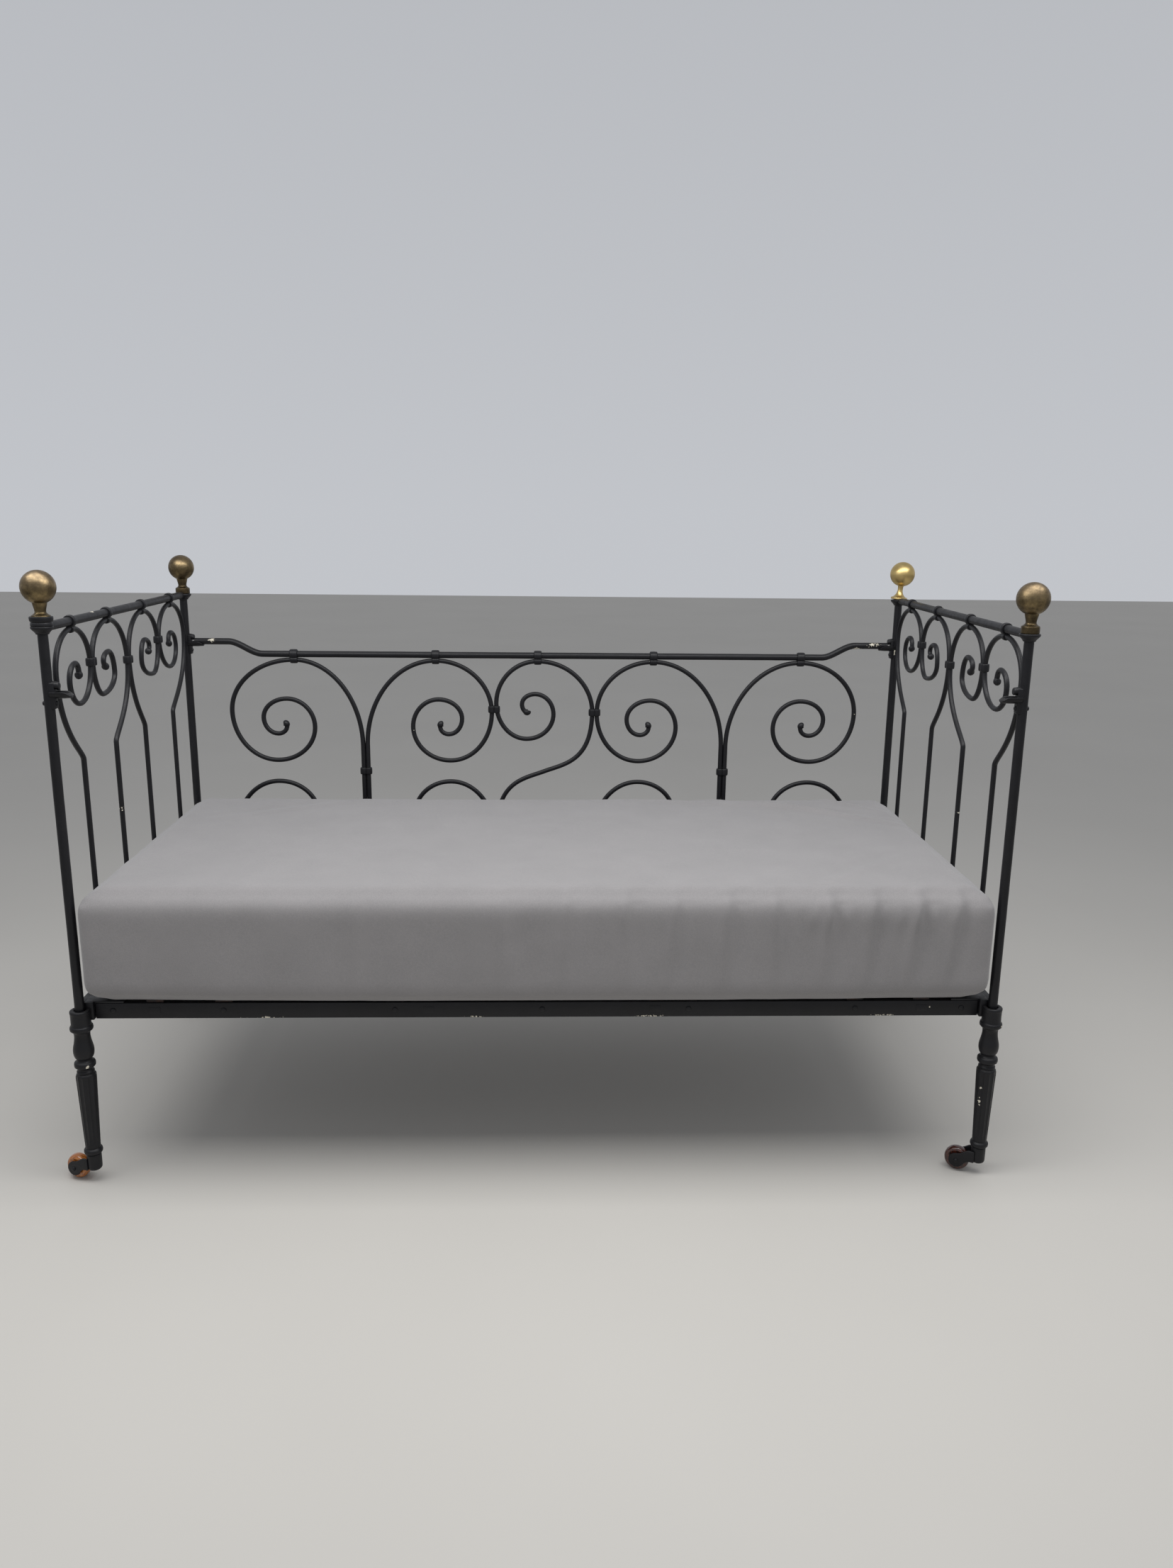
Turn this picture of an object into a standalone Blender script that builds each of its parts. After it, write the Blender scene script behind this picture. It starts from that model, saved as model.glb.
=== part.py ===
"""A French wrought-iron daybed: two scrolled end panels, a lift-out scrolled back panel,
a slatted angle-iron base on cast legs with castors, brass ball finials and a mattress.

Frame: origin on the floor at the centre of the bed, +X along the bed, -Y to the open front.
"""

import math

import bmesh
import bpy
from mathutils import Matrix, Vector

# ---------------------------------------------------------------- driving dimensions (m)
POST_SPAN_X = 1.380          # between post axes along the bed
POST_SPAN_Y = 0.628          # between post axes across the bed
POST_R = 0.0070
STUD_R = 0.0038              # stud on top of each post that the finial screws on
GAP = 0.0003                 # left between solids that touch
LOOSE = 0.0006               # radial clearance where one piece turns or drops in another

# End panels
END_RAIL_Z = 0.853
END_RAIL_R = 0.0065
END_ROD_R = 0.0040
END_BEND_Z = 0.660           # where the upright bars start to bend into their scrolls
END_BEND_DROP = 0.015        # the bars bend this far below that height first
END_BEND_EASE = 0.014        # length over which they leave the vertical
END_TIE_Y = 0.154            # tie between an outer and an inner end scroll
END_TIE_HALF = (0.0068, 0.0112, 0.0058)
# The forged bars differ: where each stands, as a share of the half width, and how far the
# outer scroll's side stays from the post's axis, from the front to the back.
END_BARS = {"left": (0.685, 0.261, 0.175, 0.656), "right": (0.742, 0.303, 0.201, 0.717)}
END_POST_CLEAR = {"left": (0.029, 0.014), "right": (0.012, 0.014)}
TIP_SWELL = 0.5              # how much thicker than its rod a scroll's rolled tip is
COLLAR_WALL = 0.0030         # of the cast collars, over the rail
LOBE_WALL = 0.0028           # of their lobes, over the rod

# Back panel
PANEL_TOP_Z = 0.741
PANEL_BOTTOM_Z = 0.277
PANEL_RAIL_R = 0.00625
PANEL_ROD_R = 0.0045
# The two sides were forged a little differently: from the post axis to the outer scroll's
# outer side, the centre of the paired bars, and the outer scroll's crown between them.
PANEL_SIDE_CLEAR = {"left": 0.079, "right": 0.073}
PANEL_PAIR_X = {"left": 0.3534, "right": 0.357}
PANEL_CROWN = {"left": 0.506, "right": 0.558}
PANEL_TIE_HALF = (0.0115, 0.0075, 0.00675)
PANEL_TIE_X = 0.099          # tie between the centre scroll and an inner scroll
PANEL_BAR_HALF = 0.051       # straight half-length of the paired bars
PANEL_RAIL_STEP = 0.145      # from the post axis to where the top rail starts to rise
PANEL_RAIL_FLAT = 0.080      # from the post axis to where it is level again
PANEL_LIFT_CLEAR = 0.050     # from the post axis to the end of the bottom rail

# Hook castings that carry the panel rail on the posts
HOOK_Z = 0.764               # axis of a rail lying in the cradle
HOOK_BOSS_LENGTH = 0.0090
HOOK_ARM_LENGTH = 0.0260
HOOK_WIDTH = 0.0150
HOOK_LUG_HALF = 0.0060       # half-width of the lug plate that hugs the post
HOOK_LUG_THICK = 0.0035
HOOK_LUG_DROP = 0.0245       # from the rail's axis down to the lug's lower end
HOOK_LUG_RISE = 0.0125
HOOK_BOSS_R = 0.0055
HOOK_BOSS_RISE = 0.0090
HOOK_RIVET_DROP = 0.0170
HOOK_RIVET_R = 0.0032
HOOK_RIVET_HEIGHT = 0.0018

# Base
RAIL_TOP_Z = 0.290
RAIL_HEIGHT = 0.0245
RAIL_FLANGE = 0.026
RAIL_THICK = 0.003
RAIL_SETBACK = 0.0095        # long rails' outer faces, inside the plane of the posts
SLAT_THICK = 0.003
SLAT_WIDTH = 0.025
LONG_SLAT_COUNT = 4
LONG_SLAT_INSET = 0.060      # from a slat's end to the outermost long slat
RIVET_R = 0.0042
RIVET_HEIGHT = 0.0016
RIVET_RISE = 0.0130          # above the lower edge of the base rails
STRAP_HALF = 0.0090
STRAP_FROM_POST = 0.107      # the outer straps, from the posts' axes
STRAP_FROM_TIE = 0.0735      # the inner straps, outwards from the panel's centre ties
STRAP_THICK = 0.0025

# Legs and castors
LEG_SIDES = 8
SOCKET_R = 0.0145
SOCKET_TOP_Z = 0.284
SOCKET_DEPTH = 0.034
LEG_FOOT_Z = 0.0475
WHEEL_R = 0.0195
WHEEL_STEPS = 16             # the wheel's flats, one of which stands on the floor
WHEEL_WIDTH = 0.016
TRAIL_CLEAR = 0.00075        # between the wheel's tread and the swivel body
CASTOR_BODY_FOOT = 0.0205    # lower end of the swivel body, above the floor
CASTOR_ARM_TOP = 0.0400      # top of the cheeks where they leave the body
CHEEK_THICK = 0.0035
CHEEK_CLEAR = 0.0008         # between a cheek and the wheel
CHEEK_BITE = 0.00195         # how far the swivel body reaches into the cheeks
CHEEK_R = 0.0115              # round end of each cheek, over the axle
STEM_R = 0.004
AXLE_R = 0.0025

# Mattress
MATTRESS_END_CLEAR = 0.0090  # from the post axes to its ends
MATTRESS_FRONT = 0.0235      # how far it stands in front of the front posts' axes
MATTRESS_BACK_CLEAR = 0.0515 # from the back posts' axes to its back
MATTRESS_HEIGHT = 0.176
MATTRESS_EDGE = 0.022

# Finials
BALL_R = 0.02325
FINIAL_BAND_R = 0.0128
FINIAL_BAND_HEIGHT = 0.0093
FINIAL_WAIST_R = 0.0074
FINIAL_NECK_R = 0.0095       # where the ball is cut for the neck
FINIAL_STUD = 0.0187         # length of the stud above the flange
CUP_FLOOR = 0.0040           # thick washer that lifts the front left finial
CUP_HEIGHT = 0.0133
CUP_R = 0.0145
CUP_LIP_R = 0.0155
SLIM_DISC_R = 0.0154         # foot disc of the newer finial at the back right
SLIM_DISC_HEIGHT = 0.0038
SLIM_NECK_R = 0.0047
SLIM_STUD = 0.0080
FLANGE_R = 0.0148
FLANGE_RISE = 0.0022         # top of the flange above the end rail's axis

POST_X = POST_SPAN_X / 2
POST_Y = POST_SPAN_Y / 2
FLANGE_TOP_Z = END_RAIL_Z + FLANGE_RISE
POST_SHOULDER_Z = END_RAIL_Z - END_RAIL_R - 0.0008
BALL_Z = FLANGE_TOP_Z + 0.0483
PANEL_MID_Z = (PANEL_TOP_Z + PANEL_BOTTOM_Z) / 2
PANEL_SCROLL_TOP = PANEL_TOP_Z - PANEL_RAIL_R - PANEL_ROD_R - GAP
END_SCROLL_TOP = END_RAIL_Z - END_RAIL_R - END_ROD_R - GAP
END_RAIL_FACE_X = POST_X + POST_R      # outer face of the end rails of the base
LONG_RAIL_FACE_Y = POST_Y - RAIL_SETBACK
AXLE_Z = WHEEL_R * math.cos(math.pi / WHEEL_STEPS)
CASTOR_BODY_R = WHEEL_WIDTH / 2 + CHEEK_CLEAR + CHEEK_BITE
CASTOR_TRAIL = CASTOR_BODY_R + WHEEL_R + TRAIL_CLEAR
ROD_SIDES = 1                # bevel resolution of the scrolled rods, six sides

# ---------------------------------------------------------------- scene and helpers
for old in list(bpy.data.objects):
    bpy.data.objects.remove(old, do_unlink=True)

parts = bpy.data.collections.new("daybed")
tools = bpy.data.collections.new("daybed_cutters")
bpy.context.scene.collection.children.link(parts)
bpy.context.scene.collection.children.link(tools)


def material(name, colour, roughness, metallic):
    """One Principled material; the colour is linear RGB."""
    mat = bpy.data.materials.new(name)
    mat.use_nodes = True
    shader = mat.node_tree.nodes["Principled BSDF"]
    shader.inputs["Base Color"].default_value = (*colour, 1.0)
    shader.inputs["Roughness"].default_value = roughness
    shader.inputs["Metallic"].default_value = metallic
    return mat


def black_iron(name):
    return material(name + "_black_paint", (0.012, 0.012, 0.014), 0.42, 0.0)


def aged_brass(name):
    return material(name + "_aged_brass", (0.16, 0.105, 0.045), 0.38, 1.0)


def polished_brass(name):
    return material(name + "_polished_brass", (0.62, 0.42, 0.13), 0.18, 1.0)


def turned_wood(name):
    return material(name + "_wood", (0.21, 0.075, 0.025), 0.45, 0.0)


def grey_fabric(name):
    return material(name + "_fabric", (0.17, 0.165, 0.16), 0.95, 0.0)


def new_object(name, data, collection=parts):
    obj = bpy.data.objects.new(name, data)
    collection.objects.link(obj)
    return obj


def meshed(obj):
    """The object as a plain mesh with its modifiers applied and its seams welded."""
    bpy.context.view_layer.update()
    graph = bpy.context.evaluated_depsgraph_get()
    mesh = bpy.data.meshes.new_from_object(obj.evaluated_get(graph))
    mesh.transform(obj.matrix_world)
    bm = bmesh.new()
    bm.from_mesh(mesh)
    bmesh.ops.remove_doubles(bm, verts=bm.verts, dist=1e-6)
    bmesh.ops.dissolve_degenerate(bm, edges=bm.edges, dist=1e-7)
    bmesh.ops.recalc_face_normals(bm, faces=bm.faces)
    bm.to_mesh(mesh)
    bm.free()
    name = obj.name
    collection = obj.users_collection[0]
    bpy.data.objects.remove(obj, do_unlink=True)
    return new_object(name, mesh, collection)


def boolean(obj, tool, operation):
    """Joins the tool to the object, or cuts it away, and removes the tool."""
    modifier = obj.modifiers.new("combine", "BOOLEAN")
    modifier.operation = operation
    modifier.solver = "EXACT"
    modifier.object = tool
    result = meshed(obj)
    bpy.data.objects.remove(tool, do_unlink=True)
    return result


def joined(obj, others):
    for other in others:
        obj = boolean(obj, other, "UNION")
    return obj


def cut(obj, cutters):
    for cutter in cutters:
        obj = boolean(obj, cutter, "DIFFERENCE")
    return obj


def finished(obj, name, mat, pivot=(0.0, 0.0, 0.0), smooth=30):
    """Names a piece, gives it its material and puts its origin on the pivot."""
    obj.name = name
    obj.data.name = name
    obj.data.transform(Matrix.Translation(-Vector(pivot)))
    obj.location = pivot
    obj.data.materials.clear()
    obj.data.materials.append(mat)
    obj.data.shade_smooth()
    obj.data.set_sharp_from_angle(angle=math.radians(smooth))
    if tools.objects.get(obj.name):
        tools.objects.unlink(obj)
    if not parts.objects.get(obj.name):
        parts.objects.link(obj)
    return obj


def box(low, high, collection=tools):
    """A box between two corners."""
    bm = bmesh.new()
    bmesh.ops.create_cube(bm, size=1.0)
    size = Vector(high) - Vector(low)
    centre = (Vector(high) + Vector(low)) / 2
    bm.transform(Matrix.Translation(centre) @ Matrix.Diagonal((*size, 1.0)))
    mesh = bpy.data.meshes.new("box")
    bm.to_mesh(mesh)
    bm.free()
    return new_object("box", mesh, collection)


def span_box(a, b, collection=tools):
    """A box between two corners given in any order."""
    low = [min(p, q) for p, q in zip(a, b)]
    high = [max(p, q) for p, q in zip(a, b)]
    return box(low, high, collection)


def plate(outline, near_y, far_y, collection=tools):
    """A flat plate: an outline of (x, z) points given a thickness along Y."""
    count = len(outline)
    verts = [(x, near_y, z) for x, z in outline] + [(x, far_y, z) for x, z in outline]
    faces = [tuple(range(count)), tuple(range(2 * count - 1, count - 1, -1))]
    for k in range(count):
        after = (k + 1) % count
        faces.append((k, k + count, after + count, after))
    mesh = bpy.data.meshes.new("plate")
    mesh.from_pydata(verts, [], faces)
    return meshed(new_object("plate", mesh, collection))


def rod(start, end, radius, sides=12, collection=tools):
    """A straight round bar between two points."""
    start, end = Vector(start), Vector(end)
    axis = end - start
    bm = bmesh.new()
    bmesh.ops.create_cone(bm, cap_ends=True, segments=sides, radius1=radius,
                          radius2=radius, depth=axis.length)
    turn = axis.to_track_quat("Z", "Y").to_matrix().to_4x4()
    bm.transform(Matrix.Translation((start + end) / 2) @ turn)
    mesh = bpy.data.meshes.new("rod")
    bm.to_mesh(mesh)
    bm.free()
    return new_object("rod", mesh, collection)


def turned(profile, steps=12, collection=tools):
    """A turned piece about Z: (radius, height) pairs down its outer side from the top."""
    mesh = bpy.data.meshes.new("profile")
    verts = [(r, 0.0, z) for r, z in profile]
    closed = profile[0][0] > 0 and profile[-1][0] > 0
    edges = [(i, i + 1) for i in range(len(verts) - 1)]
    if closed:
        edges.append((len(verts) - 1, 0))
    mesh.from_pydata(verts, edges, [])
    obj = new_object("turned", mesh, collection)
    screw = obj.modifiers.new("turn", "SCREW")
    screw.steps = steps
    screw.render_steps = steps
    screw.use_merge_vertices = True
    screw.merge_threshold = 1e-5
    return meshed(obj)


def tube(points, radius, resolution=ROD_SIDES, swell=0, collection=tools):
    """A round bar bent along the points; swell > 0 rolls that many last points into a knob."""
    curve = bpy.data.curves.new("tube", "CURVE")
    curve.dimensions = "3D"
    curve.bevel_depth = radius
    curve.bevel_resolution = resolution
    curve.use_fill_caps = True
    curve.twist_mode = "MINIMUM"
    spline = curve.splines.new("POLY")
    spline.points.add(len(points) - 1)
    for point, place in zip(spline.points, points):
        point.co = (*place, 1.0)
    for k in range(swell):
        grow = 1.0 + TIP_SWELL * math.sin(math.pi * (k + 1) / (swell + 0.6))
        spline.points[len(points) - swell + k].radius = grow
    return meshed(new_object("tube", curve, collection))


def flattened(obj):
    """The object with the faces of each flat side made one."""
    bm = bmesh.new()
    bm.from_mesh(obj.data)
    bmesh.ops.dissolve_limit(bm, angle_limit=math.radians(0.5), verts=bm.verts, edges=bm.edges)
    bm.to_mesh(obj.data)
    bm.free()
    return obj


def moved(obj, matrix):
    obj.data.transform(matrix)
    return obj


# ---------------------------------------------------------------- scroll outlines (2D)
def quarter(start, end, leaves_level, steps):
    """A quarter ellipse between two turning points, without its start."""
    points = []
    for k in range(1, steps + 1):
        angle = math.pi / 2 * k / steps
        if leaves_level:
            x = start[0] + (end[0] - start[0]) * math.sin(angle)
            z = start[1] + (end[1] - start[1]) * (1 - math.cos(angle))
        else:
            x = start[0] + (end[0] - start[0]) * (1 - math.cos(angle))
            z = start[1] + (end[1] - start[1]) * math.sin(angle)
        points.append((x, z))
    return points


def sweep(start, a, b, end, steps):
    """A cubic curve with its two handles, without its start."""
    points = []
    for k in range(1, steps + 1):
        t = k / steps
        w = ((1 - t) ** 3, 3 * t * (1 - t) ** 2, 3 * t * t * (1 - t), t ** 3)
        points.append(tuple(sum(wi * p[i] for wi, p in zip(w, (start, a, b, end)))
                            for i in (0, 1)))
    return points


# Turning points as shares of a scroll's own box: top, side, bottom, side, top, ...
# The C scrolls' own first one, their crown, is given for each scroll.
INNER_CROWN = 0.558
C_TURNS = ((1.0, 0.538), (0.664, 0.097), (0.368, 0.405), (0.576, 0.653),
           (0.761, 0.481), (0.653, 0.338), (0.584, 0.407), (0.612, 0.441))
S_TURNS = ((-0.138, 1.0), (-1.0, 0.62), (-0.371, 0.299), (0.191, 0.525), (-0.191, 0.706),
           (-0.466, 0.615), (-0.36, 0.543), (-0.307, 0.557))
OUTER_END_TURNS = ((0.492, 1.0), (0.0, 0.69), (0.387, 0.381), (0.647, 0.574),
                   (0.457, 0.717), (0.365, 0.635), (0.415, 0.6))
INNER_END_TURNS = ((0.486, 1.0), (0.0, 0.679), (0.232, 0.381), (0.596, 0.541),
                   (0.452, 0.728), (0.301, 0.657), (0.383, 0.6))
ARC_STEPS = (5, 4, 4, 3, 3, 2, 2, 2, 2)


def arcs(start, turns, leaves_level):
    points = [start]
    for turn, steps in zip(turns, ARC_STEPS):
        points += quarter(points[-1], turn, leaves_level, steps)
        leaves_level = not leaves_level
    return points


def c_scroll(bar_x, side_x, crown):
    """A tall C: an upright bar with the same spiral at its top and bottom, as (x, z)."""
    height = PANEL_SCROLL_TOP - PANEL_MID_Z
    shares = [(crown, 1.0)] + list(C_TURNS)
    turns = [(bar_x + u * (side_x - bar_x), v * height) for u, v in shares]
    upper = arcs((bar_x, PANEL_BAR_HALF), turns, False)
    lower = [(x, -z) for x, z in reversed(upper)]
    return [(x, PANEL_MID_Z + z) for x, z in lower + upper]


def s_scroll(side_x):
    """The centre scroll, the same after half a turn, as (x, z)."""
    height = PANEL_SCROLL_TOP - PANEL_MID_Z
    turns = [(u * side_x, v * height) for u, v in S_TURNS]
    right = (side_x, 0.543 * height)
    middle = sweep((0.0, 0.0), (0.41 * side_x, 0.068 * height),
                   (side_x, 0.09 * height), right, 6)
    upper = [(0.0, 0.0)] + middle[:-1] + arcs(right, turns, False)
    lower = [(-x, -z) for x, z in reversed(upper[1:])]
    return [(x, PANEL_MID_Z + z) for x, z in lower + upper]


def end_scroll(near_y, far_y, bar_y, far_share, turns):
    """An upright bar that bends to the far side of its box and coils back, as (y, z)."""
    height = END_SCROLL_TOP - END_BEND_Z

    def place(u, v):
        return (near_y + u * (far_y - near_y), END_BEND_Z + v * height)

    foot = (bar_y, RAIL_TOP_Z + GAP)
    start = (bar_y, END_BEND_Z - END_BEND_DROP)
    side = place(1.0, far_share)
    bend = sweep(start, (bar_y, start[1] + END_BEND_EASE), place(1.0, 0.17), side, 8)
    return [foot, start] + bend[:-1] + arcs(side, [place(u, v) for u, v in turns], False)


# ---------------------------------------------------------------- posts and finials
def add_post(tag, x, y, stud_height):
    """A round upright: spigot in the leg socket, neck under the flange, stud for the finial."""
    inner = -math.copysign(1.0, x)
    foot = SOCKET_TOP_Z - SOCKET_DEPTH + GAP
    stud_top = FLANGE_TOP_Z + stud_height
    profile = [(0.0, stud_top), (STUD_R, stud_top - 0.001), (STUD_R, POST_SHOULDER_Z),
               (POST_R - 0.0015, POST_SHOULDER_Z), (POST_R - 0.0015, POST_SHOULDER_Z - 0.0015),
               (POST_R, POST_SHOULDER_Z - 0.0030), (POST_R, foot), (0.0, foot)]
    post = moved(turned(profile), Matrix.Translation((x, y, 0.0)))
    rivet_z = HOOK_Z - HOOK_RIVET_DROP
    head = rod((x - inner * (POST_R - 0.002), y, rivet_z),
               (x - inner * (POST_R + HOOK_RIVET_HEIGHT), y, rivet_z), HOOK_RIVET_R, 8)
    post = joined(post, [head])
    return finished(post, "post_" + tag, black_iron("post_" + tag), (x, y, SOCKET_TOP_Z))


def finial_foot(base_z):
    """The old finials' foot from the ball down: a waist, a flare and an upright band."""
    band_z = base_z + FINIAL_BAND_HEIGHT
    return [(FINIAL_WAIST_R + 0.0014, band_z + 0.0130), (FINIAL_WAIST_R + 0.0004, band_z + 0.0090),
            (FINIAL_WAIST_R, band_z + 0.0045), (FINIAL_BAND_R - 0.0026, band_z + 0.0017),
            (FINIAL_BAND_R - 0.0006, band_z), (FINIAL_BAND_R, band_z - 0.0006),
            (FINIAL_BAND_R, base_z)]


def slim_finial_foot(base_z):
    """The newer finial's foot from the ball down: a slim neck flared into a thin disc."""
    disc_z = base_z + SLIM_DISC_HEIGHT
    return [(SLIM_NECK_R, disc_z + 0.0165), (SLIM_NECK_R + 0.0008, disc_z + 0.0095),
            (SLIM_NECK_R + 0.0043, disc_z + 0.0035), (SLIM_DISC_R - 0.0040, disc_z + 0.0006),
            (SLIM_DISC_R - 0.0008, disc_z), (SLIM_DISC_R, disc_z - 0.0012), (SLIM_DISC_R, base_z)]


def add_finial(tag, x, y, mat, foot, leave_r, stud_height, lift=0.0):
    """A brass ball on its foot, bored from below for the post's stud."""
    base_z = FLANGE_TOP_Z + GAP + lift
    leave_angle = math.asin(leave_r / BALL_R)
    rings = 6
    ball = []
    for k in range(rings + 1):
        angle = (math.pi - leave_angle) * k / rings
        ball.append((BALL_R * math.sin(angle), BALL_Z + lift + BALL_R * math.cos(angle)))
    ball[0] = (0.0, BALL_Z + lift + BALL_R)
    bore_top = FLANGE_TOP_Z + stud_height + 0.001
    bore = [(STUD_R + LOOSE, base_z), (STUD_R + LOOSE, bore_top), (0.0, bore_top)]
    finial = moved(turned(ball + foot(base_z) + bore), Matrix.Translation((x, y, 0.0)))
    return finished(finial, "finial_" + tag, mat, (x, y, base_z), 40)


def add_cup_washer(tag, x, y):
    """A thick cup washer on the flange, with a groove round it, that holds a finial's band."""
    low = FLANGE_TOP_Z + GAP
    high = FLANGE_TOP_Z + CUP_HEIGHT
    profile = [(FINIAL_BAND_R + GAP, high), (CUP_LIP_R, high), (CUP_LIP_R - 0.0005, low + 0.0060),
               (CUP_R - 0.0004, low + 0.0052), (CUP_R, low + 0.0044), (CUP_R, low),
               (STUD_R + GAP, low), (STUD_R + GAP, low + CUP_FLOOR - GAP),
               (FINIAL_BAND_R + GAP, low + CUP_FLOOR - GAP)]
    cup = moved(turned(profile, 16), Matrix.Translation((x, y, 0.0)))
    return finished(cup, "finial_cup_" + tag, black_iron("finial_cup_" + tag), (x, y, low))


# ---------------------------------------------------------------- legs and castors
def leg_profile():
    """The cast leg below its socket: beads, vase, long shaft and foot bead, top down."""
    top = SOCKET_TOP_Z
    shaft_foot = LEG_FOOT_Z + 0.0100
    return [(SOCKET_R - 0.001, top), (SOCKET_R, top - 0.0015), (SOCKET_R, top - 0.0235),
            (0.0165, top - 0.0275), (0.0150, top - 0.0315), (0.0115, top - 0.0420),
            (0.0135, top - 0.0520), (0.01475, top - 0.0650), (0.0135, top - 0.0745),
            (0.0110, top - 0.0800), (0.0150, top - 0.0845), (0.0150, top - 0.0895),
            (0.0115, top - 0.0975), (0.0145, top - 0.1040), (0.01475, top - 0.1070),
            (0.0110, shaft_foot + 0.004), (0.0105, shaft_foot), (0.0135, shaft_foot - 0.0030),
            (0.0135, shaft_foot - 0.0065), (0.0108, LEG_FOOT_Z + 0.0012),
            (0.0105, LEG_FOOT_Z), (0.0, LEG_FOOT_Z)]


def add_leg(tag, x, y):
    """A cast leg: a socket for the post, two ears riveted to the base rails, a castor bore."""
    sx = math.copysign(1.0, x)
    sy = math.copysign(1.0, y)
    outline = [(0.0, SOCKET_TOP_Z)] + leg_profile()
    leg = moved(turned(outline, LEG_SIDES), Matrix.Translation((x, y, 0.0)))
    low_z = RAIL_TOP_Z - RAIL_HEIGHT
    under_z = RAIL_TOP_Z - RAIL_THICK - GAP
    plate_top = RAIL_TOP_Z + SLAT_THICK + GAP
    corner_x = end_flange_edge() + 0.0006
    corner_y = LONG_RAIL_FACE_Y - 0.0072
    block = span_box((sx * corner_x, sy * corner_y, low_z),
                     (sx * (POST_X - 0.0045), sy * (POST_Y - 0.004), plate_top))
    ear_face = LONG_RAIL_FACE_Y - RAIL_THICK - GAP
    ear_x = span_box((sx * (POST_X - 0.066), sy * (ear_face - 0.004), low_z + 0.002),
                     (sx * (POST_X - 0.008), sy * ear_face, under_z))
    ear_face_x = END_RAIL_FACE_X - RAIL_THICK - GAP
    ear_y = span_box((sx * (ear_face_x - 0.004), sy * (POST_Y - 0.060), low_z + 0.002),
                     (sx * ear_face_x, sy * (POST_Y - 0.008), under_z))
    plate = span_box((sx * (POST_X - 0.062), sy * (LONG_RAIL_FACE_Y - 0.022), RAIL_TOP_Z + GAP),
                     (sx * (POST_X - 0.0045), sy * LONG_RAIL_FACE_Y, plate_top))
    leg = joined(leg, [block, ear_x, ear_y, plate])
    post_bore = rod((x, y, SOCKET_TOP_Z - SOCKET_DEPTH), (x, y, plate_top + 0.01),
                    POST_R + LOOSE, 16)
    stem_bore = rod((x, y, LEG_FOOT_Z - 0.01), (x, y, LEG_FOOT_Z + 0.038), STEM_R + LOOSE, 12)
    leg = cut(leg, [post_bore, stem_bore])
    return finished(leg, "leg_" + tag, black_iron("leg_" + tag), (x, y, LEG_FOOT_Z))


def add_castor(tag, x, y, heading):
    """A swivel body with two cheeks and an axle pin, and a turned wooden wheel."""
    top = LEG_FOOT_Z - GAP
    stem_top = LEG_FOOT_Z + 0.036
    profile = [(0.0, stem_top), (STEM_R, stem_top - 0.001), (STEM_R, top),
               (CASTOR_BODY_R - 0.00095, top),
               (CASTOR_BODY_R, top - 0.0015), (CASTOR_BODY_R, CASTOR_BODY_FOOT + 0.003),
               (CASTOR_BODY_R - 0.002, CASTOR_BODY_FOOT), (0.0, CASTOR_BODY_FOOT)]
    body = turned(profile, 10)
    inner = WHEEL_WIDTH / 2 + CHEEK_CLEAR
    outer = inner + CHEEK_THICK
    pieces = []
    for side in (-1, 1):
        arm = [(0.004, CASTOR_BODY_FOOT + 0.001), (0.004, CASTOR_ARM_TOP),
               (CASTOR_TRAIL * 0.5, CASTOR_ARM_TOP - 0.002),
               (CASTOR_TRAIL + CHEEK_R * 0.25, AXLE_Z + CHEEK_R * 0.97),
               (CASTOR_TRAIL, AXLE_Z - CHEEK_R * 0.9), (CASTOR_TRAIL * 0.6, AXLE_Z - 0.002)]
        pieces.append(plate(arm, side * inner, side * outer))
        pieces.append(rod((CASTOR_TRAIL, side * inner, AXLE_Z),
                          (CASTOR_TRAIL, side * outer, AXLE_Z), CHEEK_R, 10))
    pieces.append(rod((CASTOR_TRAIL, -outer - 0.001, AXLE_Z),
                      (CASTOR_TRAIL, outer + 0.001, AXLE_Z), AXLE_R, 8))
    body = joined(body, pieces)
    place = Matrix.Translation((x, y, 0.0)) @ Matrix.Rotation(heading, 4, "Z")
    moved(body, place)
    finished(body, "castor_fork_" + tag, black_iron("castor_fork_" + tag), (x, y, LEG_FOOT_Z))

    half = WHEEL_WIDTH / 2
    tread = half - 0.003
    rim = [(AXLE_R + LOOSE, half), (WHEEL_R - 0.003, half), (WHEEL_R, tread),
           (WHEEL_R, -tread), (WHEEL_R - 0.003, -half), (AXLE_R + LOOSE, -half)]
    wheel = turned(rim, WHEEL_STEPS)
    flat_down = Matrix.Rotation(math.pi / WHEEL_STEPS, 4, "Z")
    lay = Matrix.Translation((CASTOR_TRAIL, 0.0, AXLE_Z)) @ Matrix.Rotation(math.pi / 2, 4, "X")
    moved(wheel, place @ lay @ flat_down)
    centre = place @ Vector((CASTOR_TRAIL, 0.0, AXLE_Z))
    finished(wheel, "castor_wheel_" + tag, turned_wood("castor_wheel_" + tag), centre, 40)


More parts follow.
